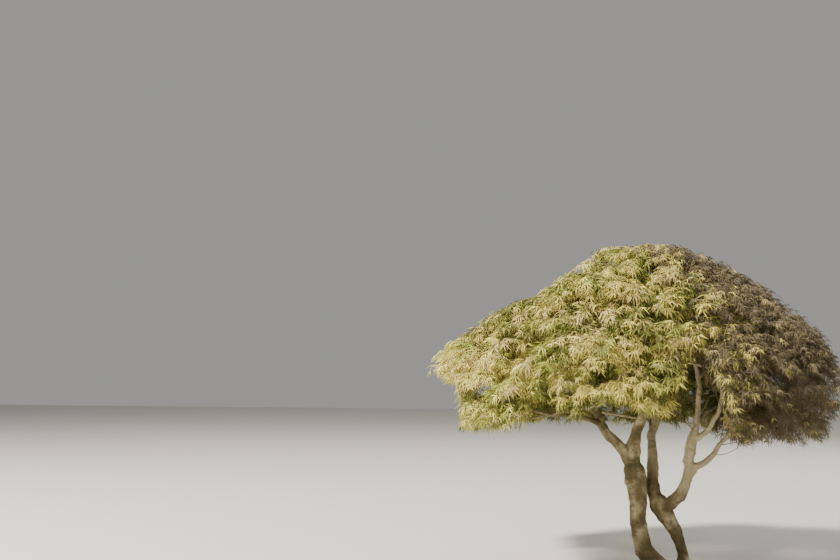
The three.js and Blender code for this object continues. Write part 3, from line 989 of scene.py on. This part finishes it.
# a place on a pad's domed top: share of its half size outward and aside
def moundPoint(pad, out, aside):
    rise = sprays["domeRise"] - sprays["domeFall"] * (out * out + aside * aside) - pad["tilt"] * out
    point = (pad["centre"] + pad["outward"] * out * pad["half"][0] + pad["across"] * aside * pad["half"][1]
             + up * rise * pad["half"][2])
    outside = point + unit(point - middleAt(point[2])) * sprays["skinOut"]
    point[2] = min(point[2], surfaceAbove(outside) - sprays["skinDown"])
    return point


def padStem(pad):
    start = pad["entry"]
    top = moundPoint(pad, 0 if pad["isTop"] else sprays["stemReach"], 0)
    end = top - up * sprays["stemSink"] * pad["half"][2]
    while not leavesFit(end[None])[0] and np.linalg.norm(end - start) > 0.1:
        end = mix(start, end, 0.9)
    length = np.linalg.norm(end - start)
    arrival = 0.3 * (up if pad["isTop"] else pad["outward"])
    return bezier(start, start + pad["entryDirection"] * 0.4 * length, end - arrival * length, end)


# a twig reaches for the pad's edge and draws back until it is inside the crown, open and clear of the limbs
def planTwig(pad, stem, index, count, draw):
    middle = (count - 1) / 2
    step = 2 * math.pi / count if pad["isTop"] else math.radians(sprays["fan"]) / middle
    turn = (index - middle) * step + eitherWay(0.12, draw())
    out, aside = math.cos(turn), math.sin(turn)
    if pad["isTop"]:
        t = mix(0.6, 0.98, draw())
    else:
        t = min(max(0.45 + 0.42 * out + eitherWay(0.1, draw()), 0.15), 0.96)
    start = stem(t)
    share = mix(*sprays["twigReach"], draw())
    droop = 0 if pad["isTop"] else sprays["droops"][index % len(sprays["droops"])] * mix(0.7, 1.3, draw())
    while share > sprays["leastReach"]:
        end = moundPoint(pad, share * out, share * aside) - up * droop
        control = mix(start, end, 0.55) + up * sprays["arch"] * np.linalg.norm(end - start)
        curve = bezier(start, control, end)
        room = end + unit(end - middleAt(end[2])) * sprays["edgeRoom"]
        inside = insidePad(np.vstack([curve(np.linspace(0, 1, 5)), room]), pad, 0.02)
        isOpen = leavesFit(curve(np.array((0.5, 0.75, 1.0)))).all()
        if inside.all() and isOpen and keepsClear(curve) and insideBox(end, -sprays["boxRoom"]):
            return curve
        share -= 0.05
    return None


def turned(v, angle):
    c, s = math.cos(angle), math.sin(angle)
    return np.array((v[0] * c - v[1] * s, v[0] * s + v[1] * c, v[2]))


def flat(v):
    return unit(np.array((v[0], v[1], 0)))


def planSideTwigs(pad, twig, overlap, draw):
    found = []
    length = lengthOf(twig)
    side = 1 if draw() < 0.5 else -1
    along = mix(0.06, 0.1, draw())
    while along < length:
        t = along / length
        start = twig(t)
        heading = flat(tangentAt(twig, t))
        sideLength = mix(*sprays["sideLength"], draw()) * mix(1.1, 0.7, t)
        angle = side * math.radians(mix(*sprays["sideTurn"], draw()))
        outward = flat(turned(heading, angle) + 0.25 * flat(start - middleAt(start[2])))
        sag = mix(*sprays["sideSag"], draw())
        for shrink in (1, 0.7, 0.45):
            reach = sideLength * shrink
            end = start + outward * reach * (1 - 0.35 * sag) - up * reach * sag
            control = start + outward * reach * 0.5 + up * reach * 0.12
            curve = bezier(start, control, end)
            tips = curve(np.array((0.6, 1.0)))
            allowed = leavesFit(tips).all() and insideBox(tips, -0.01).all()
            allowed = allowed and insidePad(tips, pad, overlap).all()
            if allowed and clearOfLimbs(tips, sprays["limbClearance"]).all():
                found.append(curve)
                break
        side = -side
        along += sprays["sideEvery"] * mix(0.8, 1.2, draw())
    return found


# leaves hang out and down from a spray on short stalks. Seven narrow fingers, each bent and turned its own
# way. Finger angles and lengths are pairs, and so are the lowest and highest sag, turn and hang.
leafShape = {
    "length": 0.078,
    "fingers": ((0, 1.0), (27, 0.97), (-27, 0.97), (55, 0.85), (-55, 0.85), (86, 0.6), (-86, 0.6)),
    "fingerWidth": 0.078,
    "widestAt": 0.42,
    "sag": (0.15, 0.8),
    "kinds": 12,
    "stalk": 0.22,
    "stalkWidth": 0.02,
    "turn": (20, 75),
    "hang": (-20, 60),
    "fineSize": 0.72,  # leaves are finer on the right, from the first of these places to the second
    "finePlace": (0.2, 0.8),
    "otherTintFrom": 0.76,
}


def leafKind(shape, draw):
    stalk, halfStalk = shape["stalk"], shape["stalkWidth"] / 2
    rows = [(-stalk, -halfStalk, 0), (-stalk, halfStalk, 0), (0, 0, 0)]
    wide = shape["widestAt"]
    for angle, share in shape["fingers"]:
        a = math.radians(angle + eitherWay(8, draw()))
        bend = math.radians(eitherWay(22, draw()))
        length = share * mix(0.8, 1.1, draw())
        sag = mix(*shape["sag"], draw())
        twist = eitherWay(1.1, draw())
        halfWidth = shape["fingerWidth"] * math.sqrt(share) / 2
        ahead = np.array((math.cos(a), math.sin(a)))
        aside = np.array((-ahead[1], ahead[0]))
        for across in (halfWidth, -halfWidth):
            xy = ahead * wide * length + aside * across
            rows.append((*xy, -sag * (wide * length) ** 2 + across * twist))
        tip = np.array((math.cos(a + bend), math.sin(a + bend))) * length * (1 - 0.25 * sag)
        rows.append((*tip, -sag * length**2))
    return np.array(rows)


kindDraw = seededStream(4242)
leafKinds = np.array([leafKind(leafShape, kindDraw) for _ in range(leafShape["kinds"])])
leafFaces = [(0, 2, 1)]
for first in range(3, leafKinds.shape[1], 3):
    leafFaces += [(2, first + 1, first), (first, first + 1, first + 2)]
leafFaces = np.array(leafFaces)

# tint, its colour and the slot of the record that it belongs to
tints = {
    "straw": (srgb(0.78, 0.72, 0.385), "foliage_straw"),
    # pale cream for painted highlights on leaves and on the lit left side
    "cream": (srgb(0.93, 0.88, 0.50), "foliage_straw"),
    "pinkStraw": (srgb(0.77, 0.69, 0.455), "foliage_straw"),
    "lime": (srgb(0.615, 0.62, 0.29), "foliage_lime"),
    "olive": (srgb(0.49, 0.485, 0.245), "foliage_lime"),
    "green": (srgb(0.335, 0.355, 0.125), "foliage_lime"),
    # rose and brown: the right side's own hue, made darker and flatter as painted shade for that side
    "rose": (srgb(0.465, 0.41, 0.315), "foliage_rust"),
    "brown": (srgb(0.385, 0.335, 0.24), "foliage_rust"),
}
# where the rose brown side begins, by height
rustPlace = {
    "z": (1.0, 1.25, 1.45, 1.6, 1.7, 1.85, 2.15, 2.3),
    "x": (0.38, 0.38, 0.4, 0.48, 0.54, 0.42, 0.08, -0.02),
    "blend": 0.32,
}
# patches of foliage by place across and up: x, z, half width, half height and how strong
colourPatches = {
    "limeCrest": (-0.55, 2.2, 0.5, 0.18, 0.8),
    "paleLeft": (-1.0, 1.72, 0.55, 0.25, 0.85),
    "paleMiddle": (0.2, 1.85, 0.4, 0.3, 0.8),
    "pinkMiddle": (-0.4, 1.8, 0.45, 0.25, 1),
}
# painted light and shade: tiers that catch the light get paler tints and the gaps between them darker ones,
# placed in the same way but as the camera sees them
lightPatches = {
    "tier over the left limb": (-0.85, 1.4, 0.42, 0.13, 1.5),
    "gap over the left fork": (-0.5, 1.2, 0.3, 0.07, -1.6),
    "tier over the left fork": (-0.33, 1.41, 0.2, 0.08, 0.9),
    "tier over the middle limb": (0.09, 1.21, 0.2, 0.09, 1.5),
    "gap above that tier": (0.05, 1.43, 0.17, 0.09, -0.7),
    "tier left of the slot": (0.15, 1.63, 0.25, 0.1, 0.9),
    "gap in the middle": (-0.06, 1.84, 0.1, 0.1, -0.9),
    "upper tier on the right": (0.6, 1.86, 0.35, 0.13, 1.3),
    "tier under the top": (-0.2, 2.05, 0.25, 0.1, 0.8),
    "gap under the top": (0.36, 2.05, 0.1, 0.1, -0.9),
}
# where a spray counts as an outer, low or left one, from where to where that sets in
tintPlace = {
    "outerLevel": (0.6, 0.86),
    "outerHeight": (1.9, 2.3),
    "lowHeight": (0.95, 1.5),
    "left": (-1.1, -0.2),
    "right": (0.1, 0.5),
    "shadedOuter": 0.36,
    # share of leaves painted as pale cream highlights
    "newLeafShare": 0.12,
}


def patchAt(x, z, patch):
    middleX, middleZ, wide, high, strength = patch
    return strength * bell((x - middleX) / wide, (z - middleZ) / high)


# painted light and shade of the lit tiers and the gaps between them, on the front only
def paintedLightAt(point):
    if point[1] >= 0:
        return 0
    x, z = seenAt(point)
    return sum(patchAt(x, z, patch) for patch in lightPatches.values())


# how much of each tint a spray has by its place: painted paler where the light falls, with cream as painted
# highlight on the lit left, darker and greener within, partly as painted shade, greener low down, rose brown
# on the right, in loose patches. A spray that fills a bare place is a shaded one and gets darker tints as
# painted shade. The second value is the share of leaves painted as pale cream highlights.
def tintWeights(p, shaded):
    place = tintPlace
    share = float(reachShare(p[2]))
    offset = p - middleAt(p[2])
    level = math.hypot(offset[0] / (crown["side"] * share), offset[1] / (crown["depth"] * share))
    outer = max(smoothstep(level, *place["outerLevel"]), smoothstep(p[2], *place["outerHeight"]))
    # painted shade: a shaded spray counts as less outer, so it takes darker, greener tints
    outer *= place["shadedOuter"] if shaded else 1
    # painted light and shade: lit tiers count as more outer, gaps as less
    paintedLight = paintedLightAt(p)
    paintedLighter, paintedDarker = max(paintedLight, 0), max(-paintedLight, 0)
    outer = min(outer + 0.5 * paintedLighter, 1) * (1 - 0.6 * paintedDarker)
    low = 1 - smoothstep(p[2], *place["lowHeight"])
    patches = {name: patchAt(p[0], p[2], patch) for name, patch in colourPatches.items()}
    lime = smoothstep(noiseAt(p * 1.7), -0.05, 0.35) + patches["limeCrest"]
    lime = lime * (1 - patches["paleLeft"]) * (1 - patches["paleMiddle"])
    fromRight = 1 - 0.8 * smoothstep(p[0], *place["right"])
    pink = smoothstep(noiseAt(p * 2.1 + 7), 0.0, 0.35) + patches["pinkMiddle"]
    ragged = 0.32 * noiseAt(p * 1.9) + 0.14 * noiseAt(p * 6 + 11)
    rustEdge = np.interp(p[2], rustPlace["z"], rustPlace["x"])
    rust = smoothstep(p[0] + ragged, rustEdge - rustPlace["blend"], rustEdge + rustPlace["blend"])
    left = 1 - smoothstep(p[0], *place["left"])
    weights = {
        "straw": (1.1 - 0.5 * lime - 0.35 * low) * outer,
        "cream": 0.35 * left * outer,
        "pinkStraw": (0.1 + 0.8 * pink + 0.3 * left) * outer,
        "lime": 0.08 + (0.15 + 0.9 * low + 1.1 * lime * fromRight) * outer,
        # olive and green within the crown: partly the leaves' own colour, partly painted shade
        "olive": 0.12 + 0.35 * low + 0.4 * lime + 0.8 * (1 - outer),
        "green": 0.02 + 0.7 * (1 - outer) + 0.25 * low,
    }
    weights = {name: weight * (1 - 0.992 * rust) for name, weight in weights.items()}
    weights["rose"] = 1.7 * rust * (0.4 + 0.6 * outer)
    weights["brown"] = 1.25 * rust
    weights["pinkStraw"] += 0.1 * rust * outer
    # painted light and shade: lit tiers take more of the pale tints and less of the dark ones, gaps less of
    # the pale ones
    for name in ("straw", "cream", "pinkStraw", "rose"):
        weights[name] *= (1 + 1.6 * paintedLighter) * (1 - 0.6 * min(paintedDarker, 1))
    for name in ("olive", "green", "brown"):
        weights[name] *= 1 - 0.7 * min(paintedLighter, 1)
    return weights, place["newLeafShare"] * outer * (1 - 0.95 * rust)


def drawTint(weights, value):
    total = sum(weights.values())
    for name, weight in weights.items():
        value -= weight / total
        if value <= 0:
            return name
    return name


# every twig and leaf of the crown is added to these two
twigTubes, leafRows = [], []


# some leaves of a spray are older, and some are painted highlights, pale cream where light reaches them
def leavesAlong(curve, firstAt, pad, tint, otherTint, paintedHighlightShare, larger, draw):
    count = max(int(lengthOf(curve) * (1 - firstAt) / sprays["leafEvery"]), 1)
    for i in range(count + 1):
        t = firstAt + (1 - firstAt) * i / count
        root = curve(t)
        heading = flat(tangentAt(curve, t))
        outside = flat(root - pad["centre"]) if pad["isTop"] else pad["outward"]
        lean = flat(mix(heading, outside, 0.3))
        fine = mix(1, leafShape["fineSize"], float(smoothstep(root[0], *leafShape["finePlace"])))
        for side in ((1, -1) if i < count else (0.1,)):
            turn = side * math.radians(mix(*leafShape["turn"], draw()))
            hang = math.radians(mix(*leafShape["hang"], draw() ** 0.8))
            ahead = turned(lean, turn) * math.cos(hang) - up * math.sin(hang)
            size = leafShape["length"] * mix(0.8, 1.15, draw()) * fine * larger
            spread = mix(0.7, 1.1, draw())
            roll = eitherWay(0.5, draw())
            kind = int(draw() * leafShape["kinds"])
            pick = draw()
            # painted highlights: a share of leaves take the pale cream tint
            own = "cream" if pick < paintedHighlightShare else otherTint if pick > leafShape["otherTintFrom"] else tint
            leafRows.append((root, ahead, size, spread, roll, own, pad["index"], kind))


def addTwig(makeTube, curve, radii, steps, sides):
    t = np.linspace(0, 1, steps)
    twigTubes.append(makeTube(curve(t), mix(*radii, t), sides))


# one twig with its side twigs and their leaves
def growTwig(pad, twig, overlap, shaded, draw):
    addTwig(tube, twig, sprays["twigRadii"], 7, 4)
    sideTwigs = planSideTwigs(pad, twig, overlap, draw)
    larger = sprays["shadedSize"] if shaded else 1
    for curve, firstAt in [(twig, 0.07)] + [(each, 0.2) for each in sideTwigs]:
        weights, paintedHighlightShare = tintWeights(curve(0.6), shaded)
        own, other = drawTint(weights, draw()), drawTint(weights, draw())
        leavesAlong(curve, firstAt, pad, own, other, paintedHighlightShare, larger, draw)
    for curve in sideTwigs:
        addTwig(pointedTube, curve, sprays["sideRadii"], 3, 3)


def growPad(pad):
    pad["stem"] = padStem(pad)
    addTwig(tube, pad["stem"], (pad["stemRadius"], sprays["stemEndRadius"]), 12, 7)
    count = sprays["topTwigs"] if pad["isTop"] else sprays["twigsPerPad"]
    draw = seededStream(1000 * (pad["index"] + 1))
    for index in range(count):
        twig = planTwig(pad, pad["stem"], index, count, draw)
        if twig is not None:
            growTwig(pad, twig, sprays["padOverlap"], False, draw)


# thin twigs near the slot and the forks, straight off a limb: the share along it, and from there the bend
# and the end
looseTwigs = {
    "low_right_limb": [
        (0.6, (0.09, -0.02, -0.03), (0.24, -0.05, 0.12)),
        (0.78, (0.1, -0.03, 0.01), (0.26, -0.08, 0.08)),
        (0.8, (0.0, -0.04, 0.08), (0.05, -0.1, 0.2)),
    ],
    "upright_limb": [
        (0.5, (-0.05, -0.04, 0.07), (-0.13, -0.1, 0.12)),
        (0.6, (0.05, -0.05, 0.08), (0.1, -0.12, 0.2)),
        (0.66, (-0.05, -0.05, 0.09), (-0.08, -0.14, 0.22)),
        (0.74, (0.06, -0.06, 0.06), (0.16, -0.15, 0.1)),
        (0.8, (-0.07, -0.07, 0.05), (-0.19, -0.16, 0.08)),
    ],
    "inner_right_limb": [
        (0.35, (-0.02, -0.05, 0.08), (0.01, -0.12, 0.2)),
        (0.6, (0.07, -0.04, 0.03), (0.18, -0.1, 0.03)),
    ],
    "left_limb": [
        (0.62, (-0.08, -0.05, 0.09), (-0.22, -0.16, 0.2)),
        (0.7, (-0.12, -0.06, 0.04), (-0.3, -0.2, 0.09)),
        (0.72, (0.05, -0.07, 0.07), (0.12, -0.2, 0.16)),
    ],
    "middle_limb": [
        (0.5, (0.06, -0.08, 0.06), (0.12, -0.24, 0.14)),
        (0.56, (-0.06, -0.08, 0.07), (-0.14, -0.24, 0.17)),
    ],
}
looseTwigShape = {"radii": (0.0036, 0.0014), "leavesFrom": 0.6, "leafSize": 0.9, "waver": 0.004, "waves": 30}


def growLooseTwig(limb, at, bend, end, draw):
    shape = looseTwigShape
    start = limb["curve"](at)
    curve = bezier(start, start + np.array(bend), start + np.array(end))
    t = np.linspace(0, 1, 9)
    points = curve(t)
    wavering = [noise.noise_vector(Vector(p * shape["waves"])) for p in points[2:-1]]
    points[2:-1] += shape["waver"] * np.array(wavering)
    twigTubes.append(pointedTube(points, mix(*shape["radii"], t), 5))
    weights, paintedHighlightShare = tintWeights(points[-1], False)
    own, other = drawTint(weights, draw()), drawTint(weights, draw())
    pad = nearestPad(points[-1])
    leavesAlong(curve, shape["leavesFrom"], pad, own, other, paintedHighlightShare, shape["leafSize"], draw)


# shells of places that the pads' own twigs leave bare: share of the crown's reach, spacing, how far to look
# for leaves, how many are enough, whether its sprays are shaded, and the lowest and highest corner of the
# box that it fills
shells = {
    "crest": (0.95, 0.13, 0.1, 14, False, (-2, -2, 2.05), (2, 2, 2.4)),
    "right shoulder": (0.95, 0.125, 0.1, 12, False, (0.3, -2, 1.15), (2, 2, 2.25)),
    "shoulder": (0.91, 0.15, 0.1, 11, True, (-2, -2, 1.6), (2, 2, 2.1)),
    "left shoulder": (0.82, 0.13, 0.1, 12, False, (-1.5, -1, 1.4), (-0.1, 1.2, 2.2)),
    "skirt": (0.87, 0.14, 0.1, 11, True, (-2, -2, 0.9), (2, 2, 1.6)),
    "middle": (0.78, 0.16, 0.11, 11, True, (-2, -2, 0.95), (2, 2, 2.2)),
    "back skirt": (0.74, 0.13, 0.1, 13, True, (-0.5, 0.2, 1.0), (1, 2, 1.5)),
    "behind the slot": (0.62, 0.13, 0.1, 13, True, (0, -2, 0.9), (2, 2, 1.5)),
    "inner": (0.52, 0.24, 0.14, 8, True, (-2, -2, 1.15), (2, 2, 2.0)),
}
shellOverlap = 0.14


# places spread evenly over the crown's dome, shrunk to a share of its reach
def shellPlaces(level, spacing, low, high, draw):
    z = np.linspace(crown["skirt"], crown["height"], 2000)
    across = reachShare(z) * (crown["side"] + crown["depth"]) / 2
    arc = np.concatenate([[0], np.cumsum(np.hypot(np.diff(across), np.diff(z)))])
    places = []
    for distance in np.arange(0, arc[-1], spacing):
        height, ring = np.interp(distance, arc, z), np.interp(distance, arc, across)
        count = max(int(2 * math.pi * ring * level / spacing), 1)
        first = draw() * 2 * math.pi
        reach = np.array((crown["side"], crown["depth"], 0)) * float(reachShare(height))
        for i in range(count):
            angle = first + 2 * math.pi * (i + eitherWay(0.25, draw())) / count
            place = middleAt(height) + reach * towards(angle) * level
            place[2] = crown["skirt"] + (height - crown["skirt"]) * mix(level, 1, 0.35)
            if (place >= low).all() and (place <= high).all():
                places.append(place)
    return places


def fillShell(name, shell, seed):
    level, spacing, look, enough, shaded, low, high = shell
    draw = seededStream(seed)
    roots = np.array([row[0] for row in leafRows])
    staying = np.flatnonzero(leavesFit(roots))
    leafTree = KDTree(len(staying))
    for i in staying:
        leafTree.insert(roots[i], i)
    leafTree.balance()
    grown = 0
    for place in shellPlaces(level, spacing, low, high, draw):
        if not insideBox(place, -sprays["boxRoom"]) or not leavesFit(place[None])[0]:
            continue
        if len(leafTree.find_range(place, look)) >= enough:
            continue
        pad = nearestPad(place)
        onStem = pad["stem"](np.linspace(0.2, 0.95, 16))
        above = np.maximum(onStem[:, 2] - place[2], 0)
        start = onStem[np.argmin(np.linalg.norm(onStem - place, axis=1) + 0.4 * above)]
        control = mix(start, place, 0.5) + up * sprays["arch"] * 1.4 * np.linalg.norm(place - start)
        twig = bezier(start, control, place)
        if keepsClear(twig):
            growTwig(pad, twig, shellOverlap, shaded, draw)
            grown += 1
    report(f"{name} shell: {grown} more twigs")


def leafVerts(rows):
    root, ahead, size, spread, roll = (np.array([row[k] for row in rows]) for k in range(5))
    ahead, size, spread, roll = units(ahead), size[:, None], spread[:, None], roll[:, None]
    face = units(up - ahead * ahead[:, 2:3])
    side = np.cross(face, ahead)
    face, side = face * np.cos(roll) + side * np.sin(roll), side * np.cos(roll) - face * np.sin(roll)
    centre = root + ahead * size * leafShape["stalk"]
    x, y, z = np.moveaxis(leafKinds[[row[7] for row in rows]], 2, 0)[..., None]
    local = x * ahead[:, None] + y * spread[:, :, None] * side[:, None] + z * face[:, None]
    return centre[:, None] + local * size[:, :, None]


# leaves stay whole or go whole: within the crown and its box, clear of the limbs, and out of what is open
def keepLeaves(verts):
    fingers = verts[:, 3:].reshape(-1, 3)
    within = (insideBox(fingers, 0.012) & insideCrown(fingers, 0.03)).reshape(len(verts), -1).all(axis=1)
    return within & clearOfLimbs(verts[:, 2], 0.006) & openPlaces(verts[:, 5])


for pad in pads:
    growPad(pad)
looseDraw = seededStream(5150)
noise.seed_set(5150)  # or the loose twigs would waver in another way each run
for limbName, onLimb in looseTwigs.items():
    limb = named(limbs, limbName)
    for at, bend, end in onLimb:
        growLooseTwig(limb, at, bend, end, looseDraw)
report(f"pads: {len(twigTubes)} twigs and {len(leafRows)} leaves")
for number, (name, shell) in enumerate(shells.items()):
    fillShell(name, shell, 77000 + number)
report(f"{len(twigTubes)} twigs and {len(leafRows)} leaves drawn")

allVerts = leafVerts(leafRows)
kept = keepLeaves(allVerts)
report(f"{kept.sum()} leaves kept inside the crown and clear of the limbs")

twigBark = plainMaterial("twigBark", srgb(0.47, 0.415, 0.27), 0.75)
verts, quads, tris = joined(twigTubes)
twigs = addMesh("twigs", verts, [quads, tris], twigBark)
report(f"twigs: {2 * len(quads) + len(tris)} triangles")

leafLook = {"roughness": 0.6, "specular": 0.15, "mostTriangles": 190000}
leafPieces = []
leafTints = np.array([row[5] for row in leafRows])
mostPerPiece = leafLook["mostTriangles"] // len(leafFaces)
for tint, (colour, slot) in tints.items():
    material = plainMaterial(f"leaf_{tint}", colour, leafLook["roughness"], leafLook["specular"])
    chosen = np.flatnonzero(kept & (leafTints == tint))
    for part, start in enumerate(range(0, len(chosen), mostPerPiece)):
        some = chosen[start:start + mostPerPiece]
        offsets = np.arange(len(some))[:, None, None] * leafKinds.shape[1]
        faces = (leafFaces[None] + offsets).reshape(-1, 3)
        verts = allVerts[some].reshape(-1, 3)
        piece = addMesh(f"leaves_{tint}_{part + 1}", verts, [faces], material, smooth=False)
        masses = sorted({pads[leafRows[i][6]]["name"] for i in some})
        leafPieces.append((piece, slot, masses))
        report(f"{piece.name}: {len(some)} leaves, {len(faces)} triangles, in {len(masses)} masses")

# what each piece stands for
limbNames = [limb["name"] for limb in limbs]
woodPieces = [
    (stemsAndLimbs, "bark", limbNames[:mainLimbCount]),
    (boughs, "bark", limbNames[mainLimbCount:]),
    (twigs, "bark", [pad["name"] for pad in pads]),
]
for piece, slot, replaced in woodPieces + leafPieces:
    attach(piece, "root")
    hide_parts(*replaced)
report("pieces tied to the model")

# plain pale floor and soft studio light
studio = {
    "floorSize": 60,
    "floorColour": srgb(0.80, 0.79, 0.76),
    "backColour": (0.84, 0.83, 0.80, 1),
    "backStrength": 0.4,
    "aim": (-0.2, 0, 1.3),
}
# name, place, size, watts, colour
studioLights = [
    ("key", (-11.0, -7.0, 14.0), 2.6, 9000, (1.0, 0.965, 0.87)),
    ("fill", (9.0, -8.0, 5.0), 7.0, 430, (0.93, 0.96, 1.0)),
    ("back", (4.0, 10.0, 9.0), 6.0, 900, (1.0, 0.98, 0.94)),
]


def buildStudio(look):
    half = look["floorSize"] / 2
    corners = np.array([(-half, -half, 0), (half, -half, 0), (half, half, 0), (-half, half, 0)])
    floorMaterial = plainMaterial("paleFloor", look["floorColour"], 0.9)
    floor = addMesh("floor", corners, [np.array([[0, 1, 2, 3]])], floorMaterial)
    world = bpy.data.worlds.new("studio")
    world.use_nodes = True
    background = world.node_tree.nodes["Background"]
    background.inputs["Color"].default_value = look["backColour"]
    background.inputs["Strength"].default_value = look["backStrength"]
    bpy.context.scene.world = world
    for name, place, size, watts, colour in studioLights:
        lamp = bpy.data.lights.new(name, "AREA")
        lamp.size = size
        lamp.energy = watts
        lamp.color = colour
        light = bpy.data.objects.new(name, lamp)
        light.location = place
        light.rotation_euler = (Vector(look["aim"]) - Vector(place)).to_track_quat("-Z", "Y").to_euler()
        bpy.context.scene.collection.objects.link(light)


buildStudio(studio)
report("studio ready")
